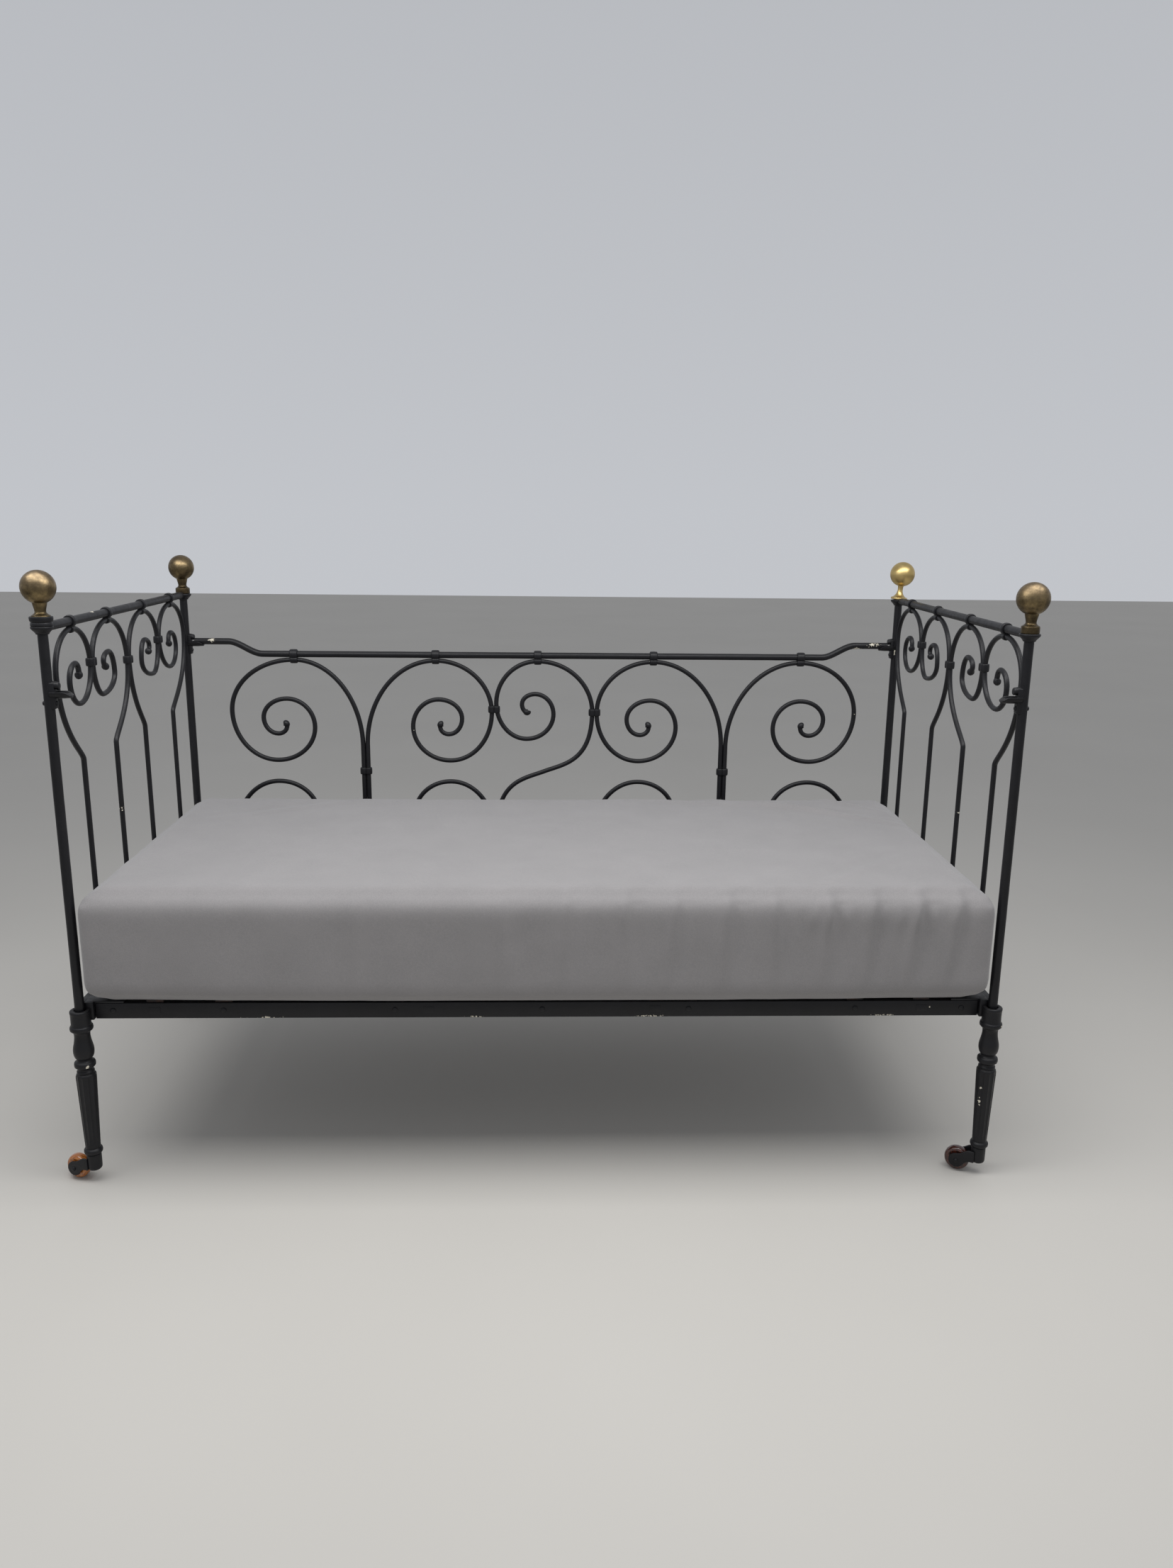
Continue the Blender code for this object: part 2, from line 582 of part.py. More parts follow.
# ---------------------------------------------------------------- hook castings
def add_hook(tag, x, y):
    """A cradle riveted to the post's inner side, open at the top, under a short boss."""
    s = -math.copysign(1.0, x)
    face = x + s * POST_R
    floor_z = HOOK_Z - PANEL_RAIL_R - GAP
    boss_z = HOOK_Z + HOOK_BOSS_RISE
    boss = rod((x, y, boss_z), (face + s * HOOK_BOSS_LENGTH, y, boss_z), HOOK_BOSS_R)
    half = HOOK_WIDTH / 2
    arm = span_box((x, y - half, floor_z - 0.004),
                   (face + s * HOOK_ARM_LENGTH, y + half, HOOK_Z - 0.002))
    lug = span_box((x, y - HOOK_LUG_HALF, HOOK_Z - HOOK_LUG_DROP),
                   (face + s * HOOK_LUG_THICK, y + HOOK_LUG_HALF, HOOK_Z + HOOK_LUG_RISE))
    rivet_z = HOOK_Z - HOOK_RIVET_DROP
    rivet_x = face + s * HOOK_LUG_THICK
    head = rod((rivet_x - s * 0.001, y, rivet_z),
               (rivet_x + s * HOOK_RIVET_HEIGHT, y, rivet_z), HOOK_RIVET_R, 8)
    hook = joined(arm, [boss, lug, head])
    groove = rod((face + s * (HOOK_BOSS_LENGTH - 0.0025), y, HOOK_Z),
                 (face + s * (HOOK_ARM_LENGTH + 0.01), y, HOOK_Z), PANEL_RAIL_R + GAP, 12)
    back_half = span_box((x - s * 0.03, y - 0.03, HOOK_Z - 0.05), (x, y + 0.03, HOOK_Z + 0.05))
    post_hole = rod((x, y, HOOK_Z - 0.05), (x, y, HOOK_Z + 0.05), POST_R + GAP, 12)
    hook = cut(hook, [groove, back_half, post_hole])
    return finished(hook, "hook_" + tag, black_iron("hook_" + tag), (x, y, HOOK_Z))


# ---------------------------------------------------------------- end panels
def collar(centre, along, rail_r, rod_r, below):
    """A cast collar round a rail, with a smaller lobe round the rod under (or over) it."""
    length = 0.0150 if along == "X" else 0.0130
    step = Vector((length / 2, 0, 0)) if along == "X" else Vector((0, length / 2, 0))
    centre = Vector(centre)
    ring = rod(centre - step, centre + step, rail_r + COLLAR_WALL, 8)
    lobe_at = centre + Vector((0, 0, -below * (rail_r + rod_r + GAP)))
    lobe = rod(lobe_at - step * 0.9, lobe_at + step * 0.9, rod_r + LOBE_WALL, 6)
    return [ring, lobe]


def add_end_panel(tag, x):
    """One end: top rail with its post flanges and collars, four scrolled bars, three ties."""
    near_tie = END_TIE_Y + END_ROD_R + GAP / 2
    far_tie = END_TIE_Y - END_ROD_R - GAP / 2
    centre_y = END_ROD_R + GAP / 2
    outer_front, inner_front, inner_back, outer_back = END_BARS[tag]
    bars = {"front": (outer_front, inner_front), "back": (outer_back, inner_back)}
    clears = dict(zip(("front", "back"), END_POST_CLEAR[tag]))
    paths = {}
    crowns = []
    for side, end in ((-1, "front"), (1, "back")):
        side_y = POST_Y - clears[end]
        outer = end_scroll(near_tie, side_y, bars[end][0] * POST_Y, 0.662, OUTER_END_TURNS)
        inner = end_scroll(far_tie, centre_y, bars[end][1] * POST_Y, 0.596, INNER_END_TURNS)
        paths["outer_" + end] = [(x, side * y, z) for y, z in outer]
        paths["inner_" + end] = [(x, side * y, z) for y, z in inner]
        crowns.append(side * (near_tie + OUTER_END_TURNS[0][0] * (side_y - near_tie)))
        crowns.append(side * (far_tie + INNER_END_TURNS[0][0] * (centre_y - far_tie)))

    rail_end = POST_Y - FINIAL_BAND_R
    rail = rod((x, -rail_end, END_RAIL_Z), (x, rail_end, END_RAIL_Z), END_RAIL_R, 8)
    under_z = POST_SHOULDER_Z + GAP
    flange = [(0.0, FLANGE_TOP_Z), (FLANGE_R - 0.0008, FLANGE_TOP_Z),
              (FLANGE_R, FLANGE_TOP_Z - 0.0012), (FLANGE_R - 0.0006, FLANGE_TOP_Z - 0.0030),
              (FLANGE_R - 0.0036, FLANGE_TOP_Z - 0.0068), (0.0076, under_z), (0.0, under_z)]
    pieces = []
    for y in (-POST_Y, POST_Y):
        pieces.append(moved(turned(flange), Matrix.Translation((x, y, 0.0))))
    for y in crowns:
        pieces += collar((x, y, END_RAIL_Z), "Y", END_RAIL_R, END_ROD_R, 1)
    rail = joined(rail, pieces)
    holes = [rod((x, y, END_RAIL_Z - 0.05), (x, y, END_RAIL_Z + 0.05), STUD_R + GAP, 12)
             for y in (-POST_Y, POST_Y)]
    holes += [rod((x, y, FLANGE_TOP_Z), (x, y, END_RAIL_Z + 0.05), SLIM_DISC_R + LOOSE, 16)
              for y in (-POST_Y, POST_Y)]
    holes += [tube(path, END_ROD_R + GAP) for path in paths.values()]
    rail = cut(rail, holes)
    name = "end_top_rail_" + tag
    finished(rail, name, black_iron(name), (x, 0.0, END_RAIL_Z))

    for key, path in paths.items():
        name = "end_scroll_%s_%s" % (tag, key)
        finished(tube(path, END_ROD_R, swell=3), name, black_iron(name),
                 (x, path[0][1], RAIL_TOP_Z), 60)

    height = END_SCROLL_TOP - END_BEND_Z
    tie_z = END_BEND_Z + 0.685 * height
    middle_z = END_BEND_Z + 0.596 * height
    ties = (("front", -END_TIE_Y, tie_z, ("outer_front", "inner_front")),
            ("middle", 0.0, middle_z, ("inner_front", "inner_back")),
            ("back", END_TIE_Y, tie_z, ("outer_back", "inner_back")))
    for key, y, z, held in ties:
        wide, deep, tall = END_TIE_HALF
        bead = span_box((x - wide, y - deep, z - tall), (x + wide, y + deep, z + tall))
        bead = cut(bead, [tube(paths[k], END_ROD_R + GAP) for k in held])
        name = "end_tie_%s_%s" % (tag, key)
        finished(bead, name, black_iron(name), (x, y, z))


# ---------------------------------------------------------------- back panel
def panel_rail_path(rise):
    """The rail's axis as (x, z): level, then an easy ogee up to its hooked ends."""
    low_x = POST_X - PANEL_RAIL_STEP
    high_x = POST_X - PANEL_RAIL_FLAT
    tip_x = POST_X - POST_R - HOOK_BOSS_LENGTH - 0.0006
    half = [(low_x, 0.0)]
    for k in range(1, 9):
        t = k / 8
        half.append((low_x + t * (high_x - low_x), rise * (3 * t * t - 2 * t ** 3)))
    half.append((tip_x, rise))
    return [(-x, z) for x, z in reversed(half)] + half


def add_back_panel():
    """The lift-out panel: two rails with their collars, five scrolls and six ties."""
    y = POST_Y
    away = PANEL_ROD_R + GAP / 2
    flat = {}
    crowns = [S_TURNS[0][0] * (PANEL_TIE_X - away)]
    for tag, sign in (("left", -1), ("right", 1)):
        reach = POST_X - PANEL_SIDE_CLEAR[tag]
        pair_x = PANEL_PAIR_X[tag]
        places = {"outer": (pair_x + away, reach, PANEL_CROWN[tag]),
                  "inner": (pair_x - away, PANEL_TIE_X + away, INNER_CROWN)}
        for key, (bar_x, side_x, crown) in places.items():
            outline = c_scroll(bar_x, side_x, crown)
            flat[key + "_" + tag] = [(sign * px, pz) for px, pz in outline]
            crowns.append(sign * (bar_x + crown * (side_x - bar_x)))
    flat["centre"] = s_scroll(PANEL_TIE_X - away)
    paths = {key: [(px, y, pz) for px, pz in outline] for key, outline in flat.items()}

    rise = HOOK_Z - PANEL_TOP_Z
    top_path = [(px, y, PANEL_TOP_Z + pz) for px, pz in panel_rail_path(rise)]
    top = tube(top_path, PANEL_RAIL_R, 2)
    bottom_end = POST_X - PANEL_LIFT_CLEAR
    bottom = rod((-bottom_end, y, PANEL_BOTTOM_Z), (bottom_end, y, PANEL_BOTTOM_Z), PANEL_RAIL_R, 8)
    rods = list(paths.values())
    for name, rail, z, side in (("back_top_rail", top, PANEL_TOP_Z, 1),
                                ("back_bottom_rail", bottom, PANEL_BOTTOM_Z, -1)):
        pieces = collar((side * crowns[0], y, z), "X", PANEL_RAIL_R, PANEL_ROD_R, side)
        for px in crowns[1:]:
            pieces += collar((px, y, z), "X", PANEL_RAIL_R, PANEL_ROD_R, side)
        rail = joined(rail, pieces)
        rail = cut(rail, [tube(path, PANEL_ROD_R + GAP) for path in rods])
        finished(rail, name, black_iron(name), (0.0, y, z))

    for key, path in paths.items():
        name = "back_scroll_" + key
        finished(tube(path, PANEL_ROD_R, swell=3), name, black_iron(name),
                 (0.0, y, PANEL_MID_Z), 60)

    height = PANEL_SCROLL_TOP - PANEL_MID_Z
    high = 0.565 * height
    low = 0.541 * height
    ties = (("pair_left", -PANEL_PAIR_X["left"], 0.0, ("outer_left", "inner_left")),
            ("pair_right", PANEL_PAIR_X["right"], 0.0, ("outer_right", "inner_right")),
            ("upper_left", -PANEL_TIE_X, high, ("inner_left", "centre")),
            ("upper_right", PANEL_TIE_X, low, ("inner_right", "centre")),
            ("lower_left", -PANEL_TIE_X, -low, ("inner_left", "centre")),
            ("lower_right", PANEL_TIE_X, -high, ("inner_right", "centre")))
    for key, px, dz, held in ties:
        z = PANEL_MID_Z + dz
        wide, deep, tall = PANEL_TIE_HALF
        bead = span_box((px - wide, y - deep, z - tall), (px + wide, y + deep, z + tall))
        bead = cut(bead, [tube(paths[k], PANEL_ROD_R + GAP) for k in held])
        name = "back_tie_" + key
        finished(bead, name, black_iron(name), (px, y, z))


# ---------------------------------------------------------------- base
def end_flange_edge():
    """Inner edge of the end rails' top flanges."""
    return END_RAIL_FACE_X - RAIL_FLANGE


def rivet_places():
    """Places along the long rails where the riveted cross slats end."""
    pitch = 0.348 * POST_X
    return [-2 * pitch, -0.93 * pitch, 0.0, 0.93 * pitch, 2 * pitch]


def tenon_places():
    """Places along the long rails where the tenoned cross slats end."""
    return [-0.845 * POST_X, -0.250 * POST_X, 0.250 * POST_X, 0.845 * POST_X]


def strap_places():
    """Places along the back rail of the straps, clear of the panel's collars."""
    outer = POST_X - STRAP_FROM_POST
    inner = PANEL_TIE_X + STRAP_FROM_TIE
    return [-outer, -inner, inner, outer]


def add_long_rail(tag, side):
    """An angle-iron rail along the bed; the back one carries open straps for the panel."""
    half = end_flange_edge() - GAP
    face = side * LONG_RAIL_FACE_Y
    low_z = RAIL_TOP_Z - RAIL_HEIGHT
    web = span_box((-half, face, low_z), (half, face - side * RAIL_THICK, RAIL_TOP_Z))
    flange = span_box((-half, face, RAIL_TOP_Z - RAIL_THICK),
                      (half, face - side * RAIL_FLANGE, RAIL_TOP_Z))
    pieces = [flange]
    rivet_z = low_z + RIVET_RISE
    rivets = [] if side > 0 else rivet_places()
    rivets += [-(POST_X - 0.045), POST_X - 0.045]
    for x in rivets:
        pieces.append(rod((x, face - side * 0.001, rivet_z),
                          (x, face + side * RIVET_HEIGHT, rivet_z), RIVET_R, 8))
    if side > 0:
        for x in strap_places():
            pieces += panel_strap(x, face)
    rail = joined(web, pieces)
    if side > 0:
        clear = [rod((-half, POST_Y, PANEL_BOTTOM_Z), (half, POST_Y, PANEL_BOTTOM_Z),
                     PANEL_RAIL_R + LOOSE, 12)]
        rail = cut(rail, clear)
    name = "base_rail_" + tag
    finished(rail, name, black_iron(name), (0.0, face, RAIL_TOP_Z))


def panel_strap(x, face):
    """An open-topped strap on the back rail that the panel's bottom rail drops into."""
    half = STRAP_HALF
    floor_z = PANEL_BOTTOM_Z - PANEL_RAIL_R - LOOSE
    far = POST_Y + PANEL_RAIL_R + LOOSE
    outer = far + STRAP_THICK
    floor = span_box((x - half, face - 0.001, floor_z - STRAP_THICK),
                     (x + half, outer, floor_z + 0.003))
    lip = span_box((x - half, far - 0.003, floor_z), (x + half, outer, PANEL_BOTTOM_Z - 0.0005))
    return [floor, lip]


def add_end_rail(tag, side):
    """An angle-iron rail across the bed, under the feet of the scrolled bars."""
    half = POST_Y - SOCKET_R - 0.003
    face = side * END_RAIL_FACE_X
    low_z = RAIL_TOP_Z - RAIL_HEIGHT
    web = span_box((face, -half, low_z), (face - side * RAIL_THICK, half, RAIL_TOP_Z))
    flange = span_box((face, -half, RAIL_TOP_Z - RAIL_THICK),
                      (face - side * RAIL_FLANGE, half, RAIL_TOP_Z))
    rivet_z = low_z + RIVET_RISE
    rivets = [rod((face - side * 0.001, y, rivet_z),
                  (face + side * RIVET_HEIGHT, y, rivet_z), RIVET_R, 8)
              for y in (-(POST_Y - 0.042), POST_Y - 0.042)]
    rail = joined(web, [flange] + rivets)
    name = "base_rail_" + tag
    finished(rail, name, black_iron(name), (face, 0.0, RAIL_TOP_Z))


def add_slats():
    """Flat iron slats across and along the bed, riveted together where they cross."""
    low = RAIL_TOP_Z + GAP
    high = low + SLAT_THICK
    across = LONG_RAIL_FACE_Y - RAIL_THICK - 0.001
    along = END_RAIL_FACE_X - 0.0145
    half = SLAT_WIDTH / 2
    spacing = 2 * (across - LONG_SLAT_INSET) / (LONG_SLAT_COUNT - 1)
    slats = []
    for k in range(LONG_SLAT_COUNT):
        y = -(across - LONG_SLAT_INSET) + k * spacing
        slats.append(span_box((-along, y - half, low), (along, y + half, high)))
    for x in rivet_places() + tenon_places():
        slats.append(span_box((x - half, -across, low), (x + half, across, high)))
    lattice = flattened(joined(slats[-1], slats[:-1]))
    finished(lattice, "slat_lattice", black_iron("slat_lattice"), (0.0, 0.0, low))


# ---------------------------------------------------------------- mattress
def add_mattress():
    """A plain padded block with rounded edges, resting on the slats."""
    low = RAIL_TOP_Z + SLAT_THICK + 2 * GAP + 0.0003
    front = -(POST_Y + MATTRESS_FRONT)
    back = POST_Y - MATTRESS_BACK_CLEAR
    half = POST_X - MATTRESS_END_CLEAR
    block = box((-half, front, low), (half, back, low + MATTRESS_HEIGHT), parts)
    bevel = block.modifiers.new("soft_edges", "BEVEL")
    bevel.width = MATTRESS_EDGE
    bevel.segments = 3
    bevel.limit_method = "NONE"
    block = meshed(block)
    finished(block, "mattress", grey_fabric("mattress"), (0.0, (front + back) / 2, low), 50)


# ---------------------------------------------------------------- the daybed
CORNERS = (("front_left", -POST_X, -POST_Y, math.pi - 0.38),
           ("front_right", POST_X, -POST_Y, math.pi - 0.50),
           ("back_left", -POST_X, POST_Y, math.pi - 0.30),
           ("back_right", POST_X, POST_Y, 0.08))

for corner, corner_x, corner_y, heading in CORNERS:
    if corner == "back_right":
        add_post(corner, corner_x, corner_y, SLIM_STUD)
        add_finial(corner, corner_x, corner_y, polished_brass("finial_" + corner),
                   slim_finial_foot, SLIM_NECK_R, SLIM_STUD)
    else:
        lift = CUP_FLOOR + GAP if corner == "front_left" else 0.0
        stud = FINIAL_STUD + lift
        add_post(corner, corner_x, corner_y, stud)
        add_finial(corner, corner_x, corner_y, aged_brass("finial_" + corner),
                   finial_foot, FINIAL_NECK_R, stud, lift)
        if lift > 0:
            add_cup_washer(corner, corner_x, corner_y)
    add_leg(corner, corner_x, corner_y)
    add_castor(corner, corner_x, corner_y, heading)
    add_hook(corner, corner_x, corner_y)

for end, end_x in (("left", -POST_X), ("right", POST_X)):
    add_end_panel(end, end_x)

add_back_panel()
add_long_rail("front", -1)
add_long_rail("back", 1)
add_end_rail("left", -1)
add_end_rail("right", 1)
add_slats()
add_mattress()
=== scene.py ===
import math

import bmesh
import bpy
import numpy as np
from mathutils import Matrix, Vector, noise


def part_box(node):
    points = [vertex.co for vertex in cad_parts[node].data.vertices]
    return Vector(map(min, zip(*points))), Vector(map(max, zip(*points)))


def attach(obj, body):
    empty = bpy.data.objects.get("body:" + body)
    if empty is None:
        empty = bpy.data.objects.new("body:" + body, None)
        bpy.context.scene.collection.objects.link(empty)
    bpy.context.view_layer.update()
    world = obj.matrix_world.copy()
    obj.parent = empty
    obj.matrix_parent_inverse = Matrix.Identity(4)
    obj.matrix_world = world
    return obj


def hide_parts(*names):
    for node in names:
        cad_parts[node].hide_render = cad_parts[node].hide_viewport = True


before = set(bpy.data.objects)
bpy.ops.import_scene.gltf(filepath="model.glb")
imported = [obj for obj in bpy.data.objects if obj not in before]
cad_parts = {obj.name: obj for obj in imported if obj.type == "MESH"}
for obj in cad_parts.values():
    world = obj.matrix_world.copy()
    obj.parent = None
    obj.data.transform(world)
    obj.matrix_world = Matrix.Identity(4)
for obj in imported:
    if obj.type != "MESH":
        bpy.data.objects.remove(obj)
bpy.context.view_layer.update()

scene = bpy.context.scene


# ---------------------------------------------------------------- the four posts
# Round wrought-iron uprights, 14 mm thick, dropped into the sockets of the legs and drawn in
# under the end rails. All the iron is brushed with satin black over an old cream coat.
def centre(node):
    """The middle of a CAD node's box."""
    low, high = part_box(node)
    return (low + high) / 2


def linear(colour):
    """An sRGB hex colour as linear RGBA."""
    parts = [int(colour[i:i + 2], 16) / 255 for i in (1, 3, 5)]
    return tuple(c / 12.92 if c <= 0.04045 else ((c + 0.055) / 1.055) ** 2.4 for c in parts) + (1.0,)


def connect(tree, node, links):
    """Sets a node's inputs: _ stands for a space in a name, and i2 for the input numbered 2."""
    for key, value in links.items():
        name = int(key[1:]) if key[0] == "i" and key[1:].isdigit() else key.replace("_", " ")
        if isinstance(value, bpy.types.NodeSocket):
            tree.links.new(value, node.inputs[name])
        else:
            node.inputs[name].default_value = value


def add_node(tree, kind, settings=None, **links):
    """A node with its settings and inputs."""
    node = tree.nodes.new(kind)
    for key, value in (settings or {}).items():
        setattr(node, key, value)
    connect(tree, node, links)
    return node


def clouds(tree, place, scale, detail, roughness=0.5):
    """The value of a noise texture."""
    return add_node(tree, "ShaderNodeTexNoise", Vector=place, Scale=scale, Detail=detail,
                    Roughness=roughness).outputs["Fac"]


def mapped(tree, value, from_low, from_high, to_low, to_high):
    """A value moved from one range to another and kept inside it."""
    return add_node(tree, "ShaderNodeMapRange", Value=value, From_Min=from_low, From_Max=from_high,
                    To_Min=to_low, To_Max=to_high).outputs["Result"]


def maths(tree, operation, *values):
    """The result of a sum on values or sockets."""
    links = {"i%d" % k: value for k, value in enumerate(values)}
    return add_node(tree, "ShaderNodeMath", {"operation": operation}, **links).outputs[0]


def mixed(tree, share, first, second):
    """Two colours mixed; each is an sRGB hex colour or a socket."""
    first, second = [linear(c) if isinstance(c, str) else c for c in (first, second)]
    return add_node(tree, "ShaderNodeMix", {"data_type": "RGBA"}, i0=share, i6=first,
                    i7=second).outputs[2]


def new_material(name):
    """A material with one Principled shader, its node tree, and the place in metres."""
    mat = bpy.data.materials.new(name)
    mat.use_nodes = True
    return mat, mat.node_tree, add_node(mat.node_tree, "ShaderNodeTexCoord").outputs["Object"]


def dress(tree, relief, strength, depth, **links):
    """Sets the shader's inputs, and a bump from a relief with a depth in metres."""
    bump = add_node(tree, "ShaderNodeBump", Strength=strength, Distance=depth, Height=relief)
    connect(tree, tree.nodes["Principled BSDF"], {"Normal": bump.outputs[0], **links})


def painted_iron(name, chips=()):
    """Wrought or cast iron brushed with satin black enamel over cream: a soft uneven gloss
    with brush marks and rust pits, dust on what faces up, and cream where the black is off.
    A chip is (middle, half sizes, share of it bared), in metres."""
    mat, tree, place = new_material(name)
    black = mixed(tree, clouds(tree, place, 22.0, 3.0), "#0d0d0f", "#18181c")
    facing = add_node(tree, "ShaderNodeNewGeometry").outputs["Normal"]
    upward = add_node(tree, "ShaderNodeSeparateXYZ", Vector=facing).outputs["Z"]
    grime = clouds(tree, place, 90.0, 5.0, 0.7)
    dust = maths(tree, "MULTIPLY", mapped(tree, upward, 0.55, 1.0, 0.0, 0.13), grime)
    # pinhead flecks of the cream coat, a few to the metre
    bared = maths(tree, "GREATER_THAN", clouds(tree, place, 150.0, 1.0), 0.84)
    torn = clouds(tree, place, 260.0, 4.0, 0.6)
    for middle, half, share in chips:
        off = add_node(tree, "ShaderNodeVectorMath", {"operation": "SUBTRACT"}, i0=place, i1=middle)
        near = add_node(tree, "ShaderNodeVectorMath", {"operation": "DIVIDE"},
                        i0=off.outputs[0], i1=half)
        reach = add_node(tree, "ShaderNodeVectorMath", {"operation": "LENGTH"}, i0=near.outputs[0])
        edge = mapped(tree, reach.outputs["Value"], 0.2, 1.0, 0.72 - 0.34 * share, 0.82)
        bared = maths(tree, "MAXIMUM", bared, maths(tree, "GREATER_THAN", torn, edge))
    gloss = mapped(tree, grime, 0.3, 0.7, 0.33, 0.50)
    # brush marks about 3 mm apart over a coarser unevenness, a little lower where it is bared
    brushed = clouds(tree, place, 330.0, 2.0)
    relief = maths(tree, "MULTIPLY_ADD", clouds(tree, place, 75.0, 2.0), 2.5, brushed)
    dress(tree, maths(tree, "SUBTRACT", relief, bared), 0.55, 0.00018,
          Base_Color=mixed(tree, bared, mixed(tree, dust, black, "#5d5a55"), "#cfc9b8"),
          Roughness=maths(tree, "MULTIPLY_ADD", dust, 0.9, gloss), Specular_IOR_Level=0.30)
    return mat


def softened(outline, passes=2):
    """An open outline with its corners rounded; its first and last points stay."""
    for _ in range(passes):
        cut = [outline[0]]
        for a, b in zip(outline, outline[1:]):
            cut.append(tuple(0.75 * p + 0.25 * q for p, q in zip(a, b)))
            cut.append(tuple(0.25 * p + 0.75 * q for p, q in zip(a, b)))
        outline = cut + [outline[-1]]
    return outline


def meshed(bm, name):
    """A mesh made from bm, which is freed."""
    mesh = bpy.data.meshes.new(name)
    bm.to_mesh(mesh)
    bm.free()
    return mesh


def skin(bm, rings):
    """Joins closed rings of vertices into one solid with two end faces."""
    for a, b in zip(rings, rings[1:]):
        for j in range(len(a)):
            k = (j + 1) % len(a)
            bm.faces.new((a[j], b[j], b[k], a[k]))
    bm.faces.new(reversed(rings[0]))
    bm.faces.new(rings[-1])
    bmesh.ops.recalc_face_normals(bm, faces=bm.faces)


def lathe(profile, steps=32, shape=None):
    """A mesh turned about Z; the profile is (radius, height) pairs down its outer side.
    shape(radius, angle, height) may change the radius."""
    bm = bmesh.new()
    rings = []
    for radius, z in profile:
        ring = []
        for k in range(steps):
            angle = 2 * math.pi * k / steps
            r = shape(radius, angle, z) if shape else radius
            ring.append(bm.verts.new((r * math.cos(angle), r * math.sin(angle), z)))
        rings.append(ring)
    skin(bm, rings)
    bmesh.ops.remove_doubles(bm, verts=bm.verts, dist=1e-6)
    bmesh.ops.dissolve_degenerate(bm, edges=bm.edges, dist=1e-7)
    bmesh.ops.recalc_face_normals(bm, faces=bm.faces)
    return meshed(bm, "turned")


def put(mesh, at, axis="Z", turn=0.0):
    """The mesh with its Z axis laid along an axis, turned about the upright and moved."""
    lay = {"Z": Matrix(), "X": Matrix.Rotation(math.pi / 2, 4, "Y"),
           "Y": Matrix.Rotation(-math.pi / 2, 4, "X")}[axis]
    mesh.transform(Matrix.Translation(at) @ Matrix.Rotation(turn, 4, "Z") @ lay)
    return mesh


def flip(sign):
    """No turn for the positive side, and half a turn for the negative one."""
    return 0.0 if sign > 0 else math.pi


def piece(name, meshes, finish, nodes, body="root", sharp=38):
    """One shown piece made of its meshes, with its finish, CAD nodes and body."""
    bm = bmesh.new()
    for mesh in meshes:
        bm.from_mesh(mesh)
    data = meshed(bm, name)
    data.materials.append(finish)
    data.shade_smooth()
    data.set_sharp_from_angle(angle=math.radians(sharp))
    obj = bpy.data.objects.new(name, data)
    scene.collection.objects.link(obj)
    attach(obj, body)
    if nodes:
        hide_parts(*nodes)
    return obj


def hammered(radius, angle, z):
    """A forged bar is never quite round: its radius wanders by 0.15 mm."""
    return radius + 0.00015 * noise.noise(Vector((math.cos(angle), math.sin(angle), z * 60)))


touch = 0.0003                     # left between solids in the CAD
post_r = 0.0070
rail_r = 0.0065
end_rod_r = 0.0040
hook_rise = 0.0245                 # from a hook's foot up to the panel rail's middle
hook_rivet_drop = 0.0170
rivet = softened([(0.0, 0.0022), (0.0022, 0.0020), (0.0034, 0.0010), (0.0036, -0.0015),
                  (0.0, -0.0015)], 2)
post_x = centre("finial_front_right").x
post_y = centre("finial_back_right").y
socket_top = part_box("leg_front_left")[1].z
end_scroll_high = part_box("end_scroll_left_outer_front")[1].z - end_rod_r
end_rail_z = end_scroll_high + end_rod_r + touch + rail_r
corners = {side + "_" + hand: (x, y) for side, y in (("front", -post_y), ("back", post_y))
           for hand, x in (("left", -post_x), ("right", post_x))}

black_paint = painted_iron("black_enamel_wrought_iron")
worn_post_paint = painted_iron("black_enamel_wrought_iron_chipped_post",
                               [((post_x - 0.004, post_y - 0.006, 0.752), (0.006, 0.006, 0.010), 1.0),
                                ((-post_x, -post_y, 0.42), (0.010, 0.010, 0.006), 0.5)])
for corner, (x, y) in corners.items():
    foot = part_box("post_" + corner)[0].z
    neck = end_rail_z - rail_r
    shoulder = neck - 0.004
    profile = softened([(0.0, neck + 0.004), (0.0052, neck + 0.004), (0.0052, neck - 0.001),
                        (post_r, neck - 0.0025)], 1)
    profile += [(post_r, shoulder - k * (shoulder - foot) / 60) for k in range(61)] + [(0.0, foot)]
    outer = math.copysign(1.0, x)
    rivet_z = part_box("hook_" + corner)[0].z + hook_rise - hook_rivet_drop
    head = put(lathe(rivet, 16), (x + outer * post_r, y, rivet_z), "X", flip(outer))
    piece("post_bar_" + corner, [put(lathe(profile, 24, hammered), (x, y, 0.0)), head],
          worn_post_paint if corner in ("back_right", "front_left") else black_paint, ["post_" + corner])


# ---------------------------------------------------------------- the end rails
# A round bar over each end, forged into a small bell-shaped casting on top of each post.
# Narrow collars were cast round the bar and the crown of each scroll to hold them together.
def bar(path, radii, sides=14):
    """A round bar along a path of points, with a radius at each of them."""
    curve = bpy.data.curves.new("bar", "CURVE")
    curve.dimensions = "3D"
    curve.bevel_depth = 1.0
    curve.bevel_resolution = sides // 2 - 2
    curve.use_fill_caps = True
    curve.twist_mode = "MINIMUM"
    spline = curve.splines.new("POLY")
    spline.points.add(len(path) - 1)
    for point, place, radius in zip(spline.points, path, radii):
        point.co = (*place, 1.0)
        point.radius = radius
    holder = bpy.data.objects.new("bar", curve)
    scene.collection.objects.link(holder)
    bpy.context.view_layer.update()
    graph = bpy.context.evaluated_depsgraph_get()
    mesh = bpy.data.meshes.new_from_object(holder.evaluated_get(graph))
    bpy.data.objects.remove(holder, do_unlink=True)
    bpy.data.curves.remove(curve)
    return mesh


